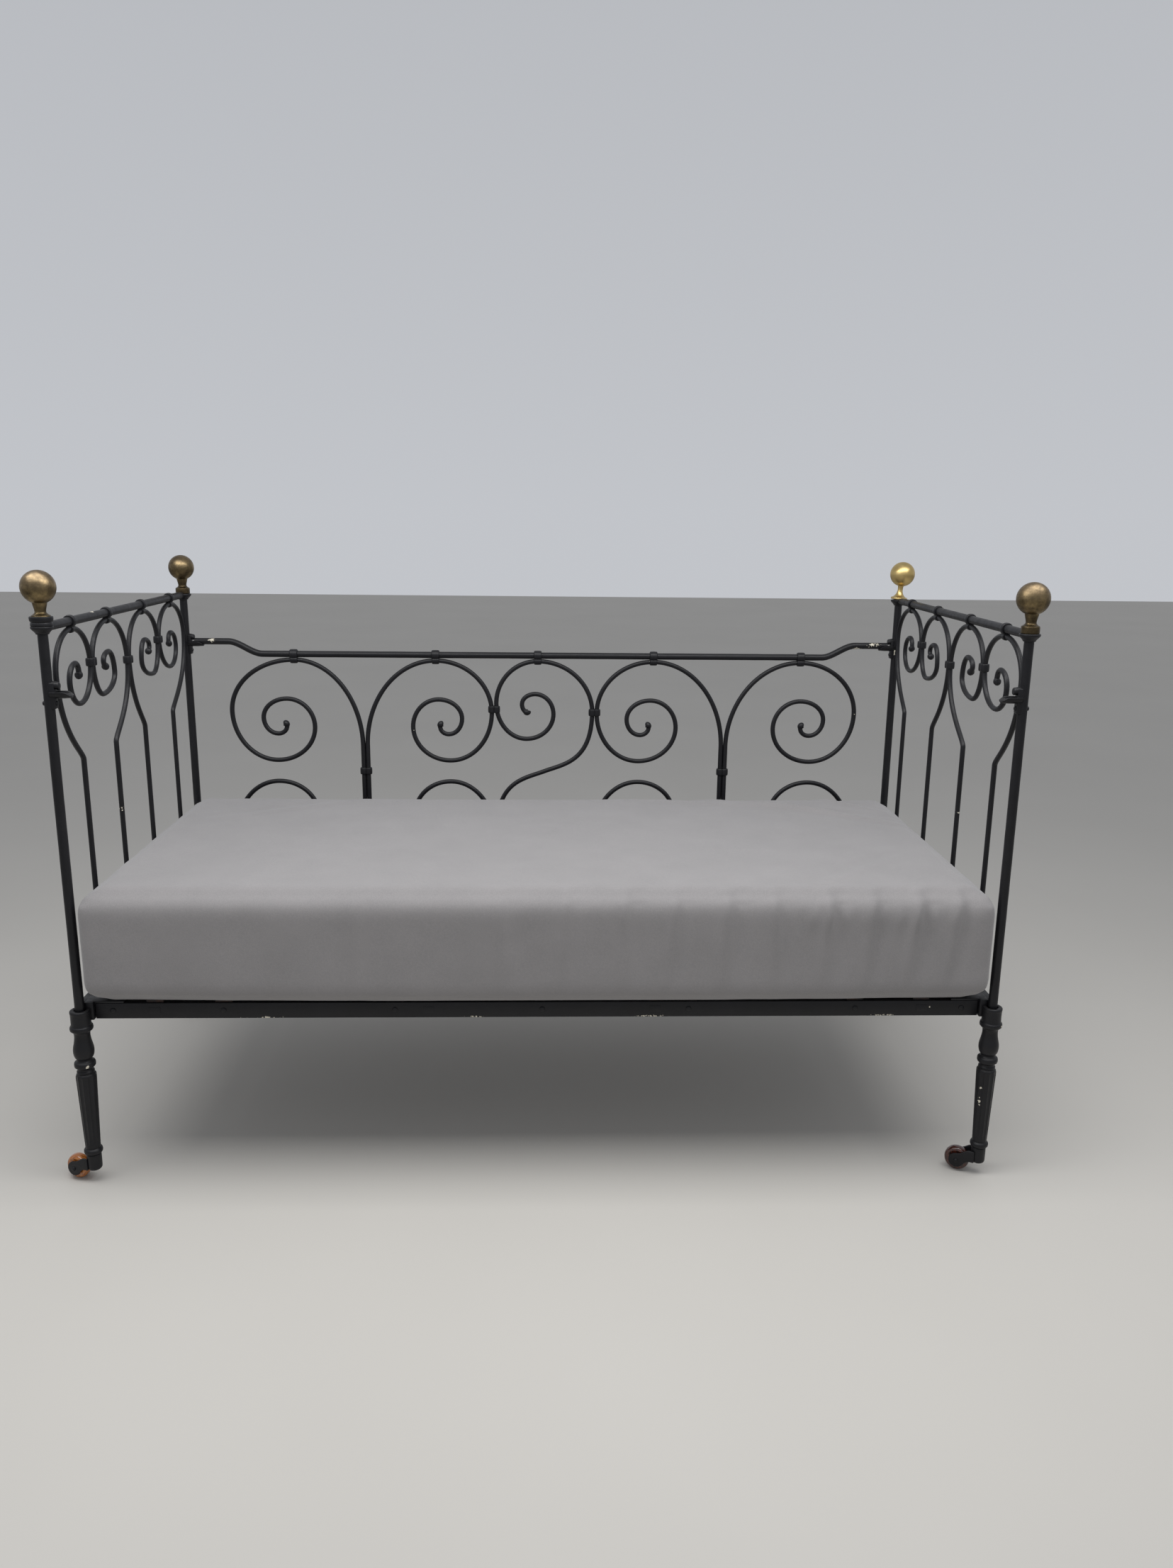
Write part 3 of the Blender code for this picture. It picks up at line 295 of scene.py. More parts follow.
def forged(path, radius):
    """The radii of a forged bar, which wander by one part in fifty."""
    return [radius * (1 + 0.02 * noise.noise(Vector(p) * 45)) for p in path]


def barrel(length, radius, mouth):
    """The profile of a cast collar: a band with rounded shoulders, narrower at its mouths."""
    half = length / 2
    return softened([(mouth, half), (radius * 0.90, half), (radius, half * 0.70),
                     (radius, -half * 0.70), (radius * 0.90, -half), (mouth, -half)], 2)


def quarter(start, end, leaves_level, steps):
    """A quarter ellipse between two turning points, without its start."""
    points = []
    for k in range(1, steps + 1):
        angle = math.pi / 2 * k / steps
        early, late = math.sin(angle), 1 - math.cos(angle)
        u, v = (early, late) if leaves_level else (late, early)
        points.append((start[0] + (end[0] - start[0]) * u, start[1] + (end[1] - start[1]) * v))
    return points


def sweep(start, a, b, end, steps):
    """A cubic curve with its two handles, without its start."""
    points = []
    for k in range(1, steps + 1):
        t = k / steps
        w = ((1 - t) ** 3, 3 * t * (1 - t) ** 2, 3 * t * t * (1 - t), t ** 3)
        points.append(tuple(sum(wi * p[i] for wi, p in zip(w, (start, a, b, end))) for i in (0, 1)))
    return points


def coil(start, turns):
    """Quarter ellipses from an upright start through a scroll's turning points."""
    points = [start]
    level = False
    for turn in turns:
        reach = abs(turn[0] - points[-1][0]) + abs(turn[1] - points[-1][1])
        points += quarter(points[-1], turn, level, max(8, int(reach / 0.006)))
        level = not level
    return points


# An end scroll's turning points as shares of its box: top, side, bottom, side, top, ...
outer_end_turns = ((0.492, 1.0), (0.0, 0.69), (0.387, 0.381), (0.647, 0.574),
                   (0.457, 0.717), (0.365, 0.635), (0.415, 0.6))
inner_end_turns = ((0.486, 1.0), (0.0, 0.679), (0.232, 0.381), (0.596, 0.541),
                   (0.452, 0.728), (0.301, 0.657), (0.383, 0.6))
end_tie_y = centre("end_tie_left_back").y
end_bend_z = 0.660
outer_near = end_tie_y + end_rod_r
inner_near = end_tie_y - end_rod_r
inner_far = end_rod_r


def outer_side(hand, depth):
    """How far from the middle the outer scroll's far side runs; the forged bars differ."""
    low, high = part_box("end_scroll_%s_outer_%s" % (hand, depth))
    return max(abs(low.y), abs(high.y)) - end_rod_r


def crown_places(hand):
    """Where the crowns of an end's four scrolls touch its rail, along Y."""
    places = []
    for depth, sign in (("front", -1), ("back", 1)):
        reach = outer_side(hand, depth) - outer_near
        places.append(sign * (outer_near + outer_end_turns[0][0] * reach))
        places.append(sign * (inner_near + inner_end_turns[0][0] * (inner_far - inner_near)))
    return places


flange_top = end_rail_z + 0.0022
post_cap = softened([(0.0, 0.0022), (0.0138, 0.0022), (0.0150, 0.0014), (0.0150, -0.0008),
                     (0.0139, -0.0022), (0.0112, -0.0052), (0.0092, -0.0072), (0.0088, -0.0095),
                     (0.0, -0.0095)], 2)
left_rail_paint = painted_iron("black_enamel_wrought_iron_chipped_end",
                               [((-post_x, -0.135, end_rail_z + 0.006), (0.006, 0.010, 0.004), 1.0)])
for hand, x in (("left", -post_x), ("right", post_x)):
    paint = left_rail_paint if hand == "left" else black_paint
    path = [(x, -post_y + k * 2 * post_y / 80, end_rail_z) for k in range(81)]
    radii = forged(path, rail_r)
    for k in range(4):          # the ends are drawn down where they enter the castings
        drawn = 0.78 + 0.055 * k
        radii[k] *= drawn
        radii[-1 - k] *= drawn
    meshes = [bar(path, radii)]
    for y in (-post_y, post_y):
        meshes.append(put(lathe(post_cap), (x, y, end_rail_z)))
    for y in crown_places(hand):
        meshes.append(put(lathe(barrel(0.0085, 0.0094, 0.0064), 24), (x, y, end_rail_z), "Y"))
        lobe_z = end_scroll_high - 0.0004
        meshes.append(put(lathe(barrel(0.0078, 0.0060, 0.0038), 20), (x, y, lobe_z), "Y"))
    piece("end_rail_bar_" + hand, meshes, paint, ["end_top_rail_" + hand])


# ---------------------------------------------------------------- the end scrolls
# Four 8 mm round bars fill each end. Each stands on the base, leans to one side, and is
# coiled hot at its top, its tip forged into a small round knob. Cast beads tie the coils.
def knobbed(path, radius, knob):
    """The path and its radii, with the far tip upset into a round knob."""
    lengths = [0.0]
    for a, b in zip(reversed(path), list(reversed(path))[1:]):
        lengths.append(lengths[-1] + (Vector(a) - Vector(b)).length)

    def back(distance):
        k = max(i for i, s in enumerate(lengths) if s <= distance)
        a, b = Vector(path[-1 - k]), Vector(path[-2 - k])
        return a.lerp(b, (distance - lengths[k]) / (lengths[k + 1] - lengths[k]))

    kept = [p for p, s in zip(reversed(path), lengths) if s > 2.3 * knob]
    kept.reverse()
    radii = forged(kept, radius)
    for k in range(1, 13):
        angle = math.pi * k / 12
        kept.append(tuple(back(knob * (1 + math.cos(angle)))))
        radii.append(max(knob * math.sin(angle), radius if k < 6 else 0.0003))
    return kept, radii


chipped_bar_paint = painted_iron("black_enamel_wrought_iron_chipped_bars",
                                 [((-post_x, -0.082, 0.535), (0.008, 0.008, 0.009), 1.0),
                                  ((post_x, -0.095, 0.535), (0.008, 0.008, 0.006), 0.9)])
end_height = end_scroll_high - end_bend_z
end_foot_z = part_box("end_scroll_left_outer_front")[0].z


def bar_place(node):
    """How far from the middle an upright bar's foot stands on the base."""
    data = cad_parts[node].data
    feet = [v.co.y for v in data.vertices if v.co.z < min(w.co.z for w in data.vertices) + 0.001]
    return abs(sum(feet) / len(feet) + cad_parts[node].matrix_world.translation.y)


def end_outline(bar_y, near, far, far_share, turns):
    """An upright bar that bends to the far side of its box and coils back, as (y, z)."""
    def place(u, v):
        return near + u * (far - near), end_bend_z + v * end_height

    leaves = end_bend_z - 0.015
    straight = [(bar_y, end_foot_z + k * (leaves - end_foot_z) / 30) for k in range(31)]
    side = place(1.0, far_share)
    bend = sweep(straight[-1], (bar_y, leaves + 0.014), place(1.0, 0.17), side, 26)
    return straight + bend[:-1] + coil(side, [place(u, v) for u, v in turns])


for hand, x in (("left", -post_x), ("right", post_x)):
    for depth, sign in (("front", -1), ("back", 1)):
        boxes = {"outer": (outer_near, outer_side(hand, depth), 0.662, outer_end_turns),
                 "inner": (inner_near, inner_far, 0.596, inner_end_turns)}
        for key, (near, far, far_share, turns) in boxes.items():
            tag = "%s_%s_%s" % (hand, key, depth)
            bar_y = bar_place("end_scroll_" + tag)
            outline = end_outline(bar_y, near, far, far_share, turns)
            path, radii = knobbed([(x, sign * y, z) for y, z in outline], end_rod_r, 0.0060)
            paint = chipped_bar_paint if key == "inner" and depth == "front" else black_paint
            piece("end_scroll_bar_" + tag, [bar(path, radii, 12)], paint, ["end_scroll_" + tag])
    for depth in ("front", "middle", "back"):
        node = "end_tie_%s_%s" % (hand, depth)
        at = centre(node)
        meshes = []
        for side in (-1, 1):
            lobe = barrel(0.0125, 0.0068, 0.0042)
            meshes.append(put(lathe(lobe, 20), at + Vector((0, side * end_rod_r, 0))))
        piece("end_tie_bead_%s_%s" % (hand, depth), meshes, black_paint, [node])


# ---------------------------------------------------------------- the finials
# Hollow brass balls spun in one with their feet and screwed on top of the posts. Three are the
# old ones, dull and brown; the back right one is a newer, slimmer one that is still bright.
def ramp(tree, value, *stops):
    """A value turned into a colour by stops, each a position and an sRGB hex colour."""
    node = add_node(tree, "ShaderNodeValToRGB", Fac=value)
    elements = node.color_ramp.elements
    elements[0].position = stops[0][0]
    elements[1].position = stops[-1][0]
    for position, _ in stops[1:-1]:
        elements.new(position)
    for element, (_, colour) in zip(elements, stops):
        element.color = linear(colour)
    return node.outputs["Color"]


def aged_brass():
    """Spun brass left to tarnish: brown and olive blotches, warmer where hands have rubbed the
    top, dark in the hollow of the neck, with fine scratches and small dents."""
    mat, tree, place = new_material("tarnished_spun_brass")
    blotch = clouds(tree, place, 75.0, 6.0, 0.65)
    tone = ramp(tree, blotch, (0.32, "#4a4030"), (0.5, "#6f6147"), (0.70, "#93805c"))
    height = add_node(tree, "ShaderNodeSeparateXYZ", Vector=place).outputs["Z"]
    rubbed = mapped(tree, height, flange_top + 0.045, flange_top + 0.078, 0.0, 0.55)
    worn = mixed(tree, maths(tree, "MULTIPLY", rubbed, blotch), tone, "#a68f7a")
    neck = mapped(tree, height, flange_top + 0.017, flange_top + 0.028, 0.55, 0.0)
    # dents a few millimetres across and half-millimetre pitting
    dent = clouds(tree, place, 110.0, 1.0)
    relief = maths(tree, "MULTIPLY_ADD", dent, 4.0, clouds(tree, place, 900.0, 2.0))
    dress(tree, relief, 0.5, 0.00012, Base_Color=mixed(tree, neck, worn, "#352d22"), Metallic=1.0,
          Roughness=mapped(tree, blotch, 0.3, 0.7, 0.46, 0.30))
    return mat


def satin_brass():
    """Newer brass, spun and lacquered: a bright gold with a soft highlight, faint blotches
    where the lacquer is thin, and rings left by the spinning."""
    mat, tree, place = new_material("lacquered_spun_brass")
    blotch = clouds(tree, place, 60.0, 4.0)
    # spinning rings 1 mm apart
    rings = add_node(tree, "ShaderNodeTexWave", {"bands_direction": "Z"}, Vector=place,
                     Scale=0.628 / 0.0010, Distortion=0.6, Detail=1.0)
    dress(tree, rings.outputs["Fac"], 0.12, 0.00005, Metallic=1.0,
          Base_Color=mixed(tree, blotch, "#b59a5e", "#dfc88f"),
          Roughness=mapped(tree, blotch, 0.3, 0.7, 0.30, 0.42))
    return mat


def ball(radius, height, leaves):
    """The outline of a ball from its top down to the radius at which its neck leaves it."""
    last = math.pi - math.asin(leaves / radius)
    return [(radius * math.sin(last * k / 30), height + radius * math.cos(last * k / 30))
            for k in range(31)]


ball_r = 0.02325
ball_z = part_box("finial_front_right")[1].z - ball_r
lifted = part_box("finial_front_left")[1].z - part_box("finial_front_right")[1].z
old_foot = softened([(0.0098, 0.0272), (0.0088, 0.0225), (0.0078, 0.0188), (0.0074, 0.0160),
                     (0.0076, 0.0138), (0.0100, 0.0114), (0.0125, 0.0102), (0.0130, 0.0090),
                     (0.0130, 0.0006), (0.0127, 0.0), (0.0, 0.0)], 2)
new_foot = softened([(0.0055, 0.0262), (0.0047, 0.0215), (0.0049, 0.0160), (0.0068, 0.0100),
                     (0.0110, 0.0052), (0.0146, 0.0041), (0.0154, 0.0032), (0.0154, 0.0008),
                     (0.0148, 0.0), (0.0, 0.0)], 2)
old_brass = aged_brass()
new_brass = satin_brass()
for corner, (x, y) in corners.items():
    new = corner == "back_right"
    foot = [(r, flange_top + touch + z) for r, z in (new_foot if new else old_foot)]
    outline = ball(ball_r, ball_z, 0.0054 if new else 0.0097) + foot[1:]
    mesh = lathe(outline, 48)
    if corner == "front_left":
        mesh.transform(Matrix.Translation((0, 0, lifted)))
    if new:                     # it was screwed on askew
        pivot = Matrix.Translation((0, 0, flange_top))
        mesh.transform(pivot @ Matrix.Rotation(math.radians(4.5), 4, "Y") @ pivot.inverted())
    piece("finial_ball_" + corner, [put(mesh, (x, y, 0.0))], new_brass if new else old_brass,
          ["finial_" + corner])

# The front left one stands in a thick iron cup washer, painted with the bed, that hides its band.
ring = softened([(0.0131, 0.0133), (0.0150, 0.0133), (0.0157, 0.0124), (0.0155, 0.0085),
                 (0.0148, 0.0066), (0.0138, 0.0057), (0.0138, 0.0050), (0.0146, 0.0042),
                 (0.0147, 0.0006), (0.0142, 0.0003), (0.0131, 0.0003)], 2)
x, y = corners["front_left"]
piece("finial_cup_ring_front_left", [put(lathe(ring), (x, y, flange_top))], black_paint,
      ["finial_cup_front_left"])


# ---------------------------------------------------------------- the hooks
# A small casting riveted to the inner side of each post: a boss with a slanted end, and below
# it a spoon-shaped arm, open upwards, in which the tip of a panel's rail lies.
def ease_edges(bm, sharp, width, segments=2):
    """Rounds over the edges sharper than an angle in degrees."""
    edges = [e for e in bm.edges if e.calc_face_angle(0) > math.radians(sharp)]
    bmesh.ops.bevel(bm, geom=edges, offset=width, segments=segments, profile=0.5, affect="EDGES")


def spoon(inside, thick, length, back):
    """Half a pipe along X, open upwards, closed to a rounded tip; its inner floor is at z = 0."""
    bm = bmesh.new()
    rows = []
    steps = 12
    for k in range(9):
        along = -back + (length + back) * k / 8
        tip = max(0.0, (k - 5) / 3)
        reach = math.radians(88) * (1 - 0.45 * tip * tip)
        row = []
        angles = [reach * (2 * j / steps - 1) for j in range(steps + 1)]
        for shell, way in ((inside + thick * (1 - 0.25 * tip), angles), (inside, angles[::-1])):
            for a in way:
                row.append(bm.verts.new((along, shell * math.sin(a), inside - shell * math.cos(a))))
        rows.append(row)
    skin(bm, rows)
    ease_edges(bm, 50, 0.0006)
    return meshed(bm, "spoon")


def slab(low, high, edge, segments=2):
    """A flat bar between two corners with its edges rounded over."""
    bm = bmesh.new()
    bmesh.ops.create_cube(bm, size=1.0)
    low, high = [Vector(map(pick, low, high)) for pick in (min, max)]
    bm.transform(Matrix.Translation((low + high) / 2) @ Matrix.Diagonal((*(high - low), 1.0)))
    ease_edges(bm, 45, edge, segments)
    return meshed(bm, "slab")


panel_rail_r = 0.00625
hook_paint = painted_iron("black_enamel_cast_iron_chipped_hooks",
                          [((post_x - 0.031, -post_y, 0.763), (0.004, 0.008, 0.007), 1.0),
                           ((post_x - 0.012, post_y, 0.772), (0.012, 0.008, 0.008), 0.45),
                           ((0.020 - post_x, post_y, 0.768), (0.012, 0.008, 0.008), 0.35)])
boss_shape = softened([(0.0, 0.0092), (0.0047, 0.0092), (0.0056, 0.0080), (0.0055, -0.004),
                       (0.0, -0.004)], 1)
lug_face = post_r + 0.0035
for corner, (x, y) in corners.items():
    boss = lathe(boss_shape, 24)
    boss.transform(Matrix.Shear("XY", 4, (0.16, 0.0)))
    cradle = spoon(panel_rail_r + touch, 0.0034, 0.026, 0.003)
    meshes = [put(boss, (post_r, 0.0, 0.009), "X"), put(cradle, (post_r, 0.0, -panel_rail_r - touch)),
              slab((0.0, -0.0060, -hook_rise), (lug_face, 0.0060, 0.0125), 0.0017, 3),
              put(lathe(rivet, 16), (lug_face, 0.0, -hook_rivet_drop), "X")]
    at = (x, y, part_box("hook_" + corner)[0].z + hook_rise)
    for mesh in meshes:
        put(mesh, at, "Z", flip(-x))
    piece("hook_casting_" + corner, meshes, hook_paint, ["hook_" + corner], sharp=45)


# ---------------------------------------------------------------- the base rails
# Angle iron with its flat side up, round-headed rivets along the front where the cross
# slats are fixed, and open straps along the back that hold the panel's bottom rail.
def angle_iron(start, end, outward, height, flange, thick):
    """An angle-iron rail between two points of its top outer edge."""
    start, end, outward = Vector(start), Vector(end), Vector(outward)
    section = [(0, 0), (-flange, 0), (-flange, -thick), (-thick, -thick), (-thick, -height),
               (0, -height)]
    bm = bmesh.new()
    rows = []
    steps = 40
    for k in range(steps + 1):
        at = start.lerp(end, k / steps)
        wave = 0.0002 * noise.noise(at * 9)
        rows.append([bm.verts.new(at + outward * (u + wave) + Vector((0, 0, v))) for u, v in section])
    skin(bm, rows)
    ease_edges(bm, 45, 0.0006)
    return meshed(bm, "angle")


rail_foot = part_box("base_rail_front")[0].z
rail_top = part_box("base_rail_front")[1].z
rail_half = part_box("base_rail_front")[1].x
rail_height = rail_top - rail_foot
rail_thick = 0.003
rail_flange = 0.026
rivet_z = rail_foot + 0.013
long_face = post_y - 0.0095
end_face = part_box("base_rail_right")[1].x - 0.0016
rivet_dome = softened([(0.0, 0.0021), (0.0024, 0.0019), (0.0041, 0.0010), (0.0044, -0.0006),
                       (0.0, -0.0006)], 2)
slat_step = 0.348 * post_x
riveted = [-2 * slat_step, -0.93 * slat_step, 0.0, 0.93 * slat_step, 2 * slat_step]
tenoned = [share * post_x for share in (-0.845, -0.250, 0.250, 0.845)]
base_paint = painted_iron("black_enamel_angle_iron_chipped",
                          [((-0.42, -long_face, rail_foot + 0.001), (0.05, 0.006, 0.0035), 0.55),
                           ((-0.10, -long_face, rail_foot + 0.001), (0.03, 0.006, 0.0035), 0.5),
                           ((0.16, -long_face, rail_foot + 0.001), (0.06, 0.006, 0.0035), 0.6),
                           ((0.52, -long_face, rail_foot + 0.001), (0.04, 0.006, 0.0035), 0.5)])
for side, sign in (("front", -1), ("back", 1)):
    face = sign * long_face
    meshes = [angle_iron((-rail_half, face, rail_top), (rail_half, face, rail_top), (0, sign, 0),
                         rail_height, rail_flange, rail_thick)]
    corner_x = post_x - 0.045
    for x in [-corner_x, corner_x] + (riveted if side == "front" else []):
        meshes.append(put(lathe(rivet_dome, 18), (x, face, rivet_z), "Y", flip(sign)))
    if side == "front":         # the riveted-over ends of the tenoned slats, just proud
        for x in tenoned:
            meshes.append(slab((x - 0.0085, face - 0.0004, rail_foot + 0.008),
                               (x + 0.0085, face + 0.002, rail_foot + 0.018), 0.0003))
    else:
        strap_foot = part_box("base_rail_back")[0].z
        strap_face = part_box("base_rail_back")[1].y
        strap_thick = 0.0026
        for x in tenoned:
            meshes.append(slab((x - 0.009, face - 0.001, strap_foot),
                               (x + 0.009, strap_face, strap_foot + strap_thick), 0.0008))
            meshes.append(slab((x - 0.009, strap_face - strap_thick, strap_foot),
                               (x + 0.009, strap_face, centre("back_bottom_rail").z), 0.0008))
    piece("base_angle_" + side, meshes, base_paint, ["base_rail_" + side], sharp=45)

for side, sign in (("left", -1), ("right", 1)):
    low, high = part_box("base_rail_" + side)
    face = sign * end_face
    meshes = [angle_iron((face, low.y, rail_top), (face, high.y, rail_top), (sign, 0, 0),
                         rail_height, rail_flange, rail_thick)]
    for y in (low.y + 0.0245, high.y - 0.0245):
        meshes.append(put(lathe(rivet_dome, 18), (face, y, rivet_z), "X", flip(sign)))
    piece("base_angle_" + side, meshes, black_paint, ["base_rail_" + side], sharp=45)


# ---------------------------------------------------------------- the slats
# Thin flat iron laid along and across the base and riveted where it crosses. It keeps its
# CAD shape, its edges eased, under thinner paint with rust coming through.
def rusty_iron():
    """Flat iron painted black long ago: nearly matt, browned where rust has come through."""
    mat, tree, place = new_material("rusted_black_flat_iron")
    spread = clouds(tree, place, 28.0, 7.0, 0.7)
    # rust scale 2 mm across
    dress(tree, clouds(tree, place, 500.0, 3.0), 0.5, 0.0002,
          Base_Color=ramp(tree, spread, (0.46, "#1b1a1b"), (0.70, "#4b3226")),
          Roughness=mapped(tree, spread, 0.4, 0.7, 0.5, 0.85))
    return mat


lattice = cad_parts["slat_lattice"]
lattice.data.materials.clear()
lattice.data.materials.append(rusty_iron())
ease = lattice.modifiers.new("eased_edges", "BEVEL")
ease.width = 0.0007
ease.segments = 2
ease.limit_method = "ANGLE"
slat_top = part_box("slat_lattice")[1].z
slat_reach = long_face - rail_thick - 0.061
domes = []
for x in riveted + tenoned:
    for k in range(4):          # the slats that run along the bed
        y = slat_reach * (2 * k / 3 - 1)
        domes.append(put(lathe(rivet_dome, 12), (x, y, slat_top - 0.0014)))
piece("slat_rivets", domes, lattice.data.materials[0], [])


# ---------------------------------------------------------------- the legs
# Cast-iron legs in the shape of turned ones: a socket for the post, a vase between beads and
# a long shaft with twelve shallow flutes. Lugs and a plate on the socket carry the base rails.
def fluted(low, high, depth):
    """A shape for lathe(): twelve shallow flutes between two heights, running out at their ends."""
    def shape(radius, angle, z):
        ends = max(0.0, min(1.0, (z - low) / 0.006, (high - z) / 0.006))
        return radius - depth * math.sqrt(ends) * abs(math.sin(6 * angle)) ** 0.7
    return shape


leg_foot = 0.0475
shaft_top = socket_top - 0.122
shaft_foot = leg_foot + 0.0125
shaft = [(0.01475 - 0.0037 * k / 16, shaft_top + (shaft_foot - shaft_top) * k / 16)
         for k in range(17)]
leg_outline = softened(
    [(0.0082, 0.2820), (0.0085, 0.2844), (0.0130, 0.2848), (0.0149, 0.2835), (0.0149, 0.2805),
     (0.0143, 0.2785), (0.0143, 0.2620), (0.0150, 0.2600), (0.0165, 0.2588), (0.0168, 0.2540),
     (0.0152, 0.2520), (0.0120, 0.2502), (0.0112, 0.2430), (0.0124, 0.2340), (0.0148, 0.2240),
     (0.0151, 0.2170), (0.0138, 0.2098), (0.0108, 0.2062), (0.0108, 0.2040), (0.0124, 0.2024),
     (0.0153, 0.2008), (0.0155, 0.1945), (0.0134, 0.1925), (0.0110, 0.1908), (0.0108, 0.1880),
     (0.0126, 0.1868), (0.0128, 0.1845), (0.0116, 0.1833), (0.0118, 0.1822), (0.0142, 0.1812),
     (0.0149, 0.1785), (0.0148, 0.1720)], 2)
foot_outline = softened(
    [(0.0110, shaft_foot - 0.001), (0.0106, 0.0576), (0.0122, 0.0563), (0.0137, 0.0546),
     (0.0137, 0.0502), (0.0122, 0.0487), (0.0106, 0.0481), (0.0106, leg_foot), (0.0, leg_foot)], 2)
cast_paint = painted_iron("black_enamel_cast_iron")
worn_cast_paint = painted_iron("black_enamel_cast_iron_chipped_legs",
                               [((-post_x + 0.0085, -post_y - 0.0120, 0.197), (0.0045, 0.006, 0.0045), 1.2),
                                ((post_x - 0.010, -post_y - 0.009, 0.128), (0.005, 0.007, 0.018), 0.85),
                                ((post_x - 0.010, -post_y - 0.009, 0.153), (0.004, 0.006, 0.006), 0.8),
                                ((post_x + 0.012, -post_y - 0.010, 0.2565), (0.006, 0.006, 0.004), 1.0)])
# the parts round the socket, each between (inner x, inner y, low z) and (outer x, outer y, high z)
flute = fluted(shaft_foot + 0.004, shaft_top + 0.010, 0.0011)
plate_z = rail_top + 0.003 + 2 * touch
under = rail_top - rail_thick - touch
ear_foot = rail_foot + 0.002
ear_y = long_face - rail_thick - touch
ear_x = end_face - rail_thick - touch
socket_parts = [
    ((end_face - rail_flange + 0.0006, long_face - 0.0072, rail_foot),
     (post_x - 0.0045, post_y - 0.004, plate_z), 0.0015),
    ((post_x - 0.066, ear_y - 0.004, ear_foot), (post_x - 0.008, ear_y, under), 0.001),
    ((ear_x - 0.004, post_y - 0.060, ear_foot), (ear_x, post_y - 0.008, under), 0.001),
    ((post_x - 0.062, long_face - 0.022, rail_top + touch), (post_x - 0.0045, long_face, plate_z), 0.001)]
for corner, (x, y) in corners.items():
    sx, sy = math.copysign(1.0, x), math.copysign(1.0, y)
    meshes = [put(lathe(leg_outline + shaft + foot_outline, 96, flute), (x, y, 0.0))]
    for low, high, edge in socket_parts:
        meshes.append(slab((sx * low[0], sy * low[1], low[2]), (sx * high[0], sy * high[1], high[2]),
                           edge))
    piece("leg_casting_" + corner, meshes, worn_cast_paint if y < 0 else cast_paint,
          ["leg_" + corner], sharp=42)


# ---------------------------------------------------------------- the castors
# A cast housing turns under each leg, its two arms ending in round cheeks that hold the axle
# of a small turned wooden wheel, varnished amber on the left and darkened on the right.
def varnished_wood(name, early, late, gloss):
    """Turned and varnished hardwood: rings of two tones with dark pores, under a clear gloss."""
    mat, tree, place = new_material(name)
    # growth rings 6 mm apart
    rings = add_node(tree, "ShaderNodeTexWave", {"wave_type": "RINGS", "rings_direction": "X"},
                     Vector=place, Scale=0.628 / 0.006, Distortion=5.0, Detail=2.0, Detail_Scale=1.5)
    pores = clouds(tree, place, 420.0, 4.0, 0.7)
    dark = mapped(tree, pores, 0.62, 0.72, 0.0, 0.7)
    grain = mixed(tree, dark, mixed(tree, rings.outputs["Fac"], early, late), "#2a140b")
    dress(tree, pores, 0.25, 0.0001, Base_Color=grain, Roughness=gloss, Coat_Weight=0.6,
          Coat_Roughness=0.12)
    return mat


def cheek(trail, radius, low_y, high_y, axle_z):
    """One arm of a castor: it leaves the housing level and ends in a round cheek."""
    outline = [(0.004, 0.0400), (0.0125, 0.0397), (0.0165, 0.0380), (0.0215, 0.0345),
               (0.0270, 0.0317)]
    for k in range(19):
        angle = math.radians(84 - k * 236 / 18)
        outline.append((trail + radius * math.cos(angle), axle_z + radius * math.sin(angle)))
    outline += [(0.0180, 0.0175), (0.0145, 0.0200), (0.0110, 0.0212), (0.004, 0.0215)]
    bm = bmesh.new()
    skin(bm, [[bm.verts.new((u, y, v)) for u, v in outline] for y in (low_y, high_y)])
    ease_edges(bm, 80, 0.0009, 3)
    return meshed(bm, "cheek")


amber = varnished_wood("varnished_turned_beech", "#b9722f", "#8a4c1c", 0.30)
brown = varnished_wood("varnished_turned_walnut", "#4a2015", "#26100b", 0.26)
castor_trail = 0.031
wheel_r = centre("castor_wheel_front_left").z
half = 0.0080                      # of a wheel's width
inner_y = half + 0.0008
outer_y = inner_y + 0.0035
stem_foot = leg_foot - touch
housing = softened([(0.0, stem_foot + 0.036), (0.0040, stem_foot + 0.036), (0.0040, stem_foot),
                    (0.0096, stem_foot), (0.0108, stem_foot - 0.0008), (0.0109, stem_foot - 0.003),
                    (0.0109, 0.0270), (0.0107, 0.0230), (0.0088, 0.0208), (0.0, 0.0205)], 1)
rim = [(0.0029, half), (0.0060, half), (0.0066, half - 0.0008), (0.0125, half - 0.0010),
       (0.0150, half - 0.0004), (0.0178, half - 0.0018), (wheel_r, half - 0.0052)]
tread = softened(rim + [(r, -y) for r, y in reversed(rim)], 2)
for corner, (x, y) in corners.items():
    wheel_at = centre("castor_wheel_" + corner)
    heading = math.atan2(wheel_at.y - y, wheel_at.x - x)
    meshes = [lathe(housing, 32)]
    for side in (-1, 1):
        meshes.append(cheek(castor_trail, 0.0115, side * inner_y, side * outer_y, wheel_r))
        meshes.append(put(lathe(rivet, 16), (castor_trail, side * outer_y, wheel_r), "Y", flip(side)))
    for mesh in meshes:
        put(mesh, (x, y, 0.0), "Z", heading)
    piece("castor_frame_" + corner, meshes, cast_paint, ["castor_fork_" + corner],
          "castor_" + corner, 42)
    wheel = put(lathe(tread, 48), (castor_trail, 0.0, wheel_r), "Y")
    piece("castor_roller_" + corner, [put(wheel, (x, y, 0.0), "Z", heading)],
          amber if x < 0 else brown, ["castor_wheel_" + corner], "wheel_" + corner, 50)


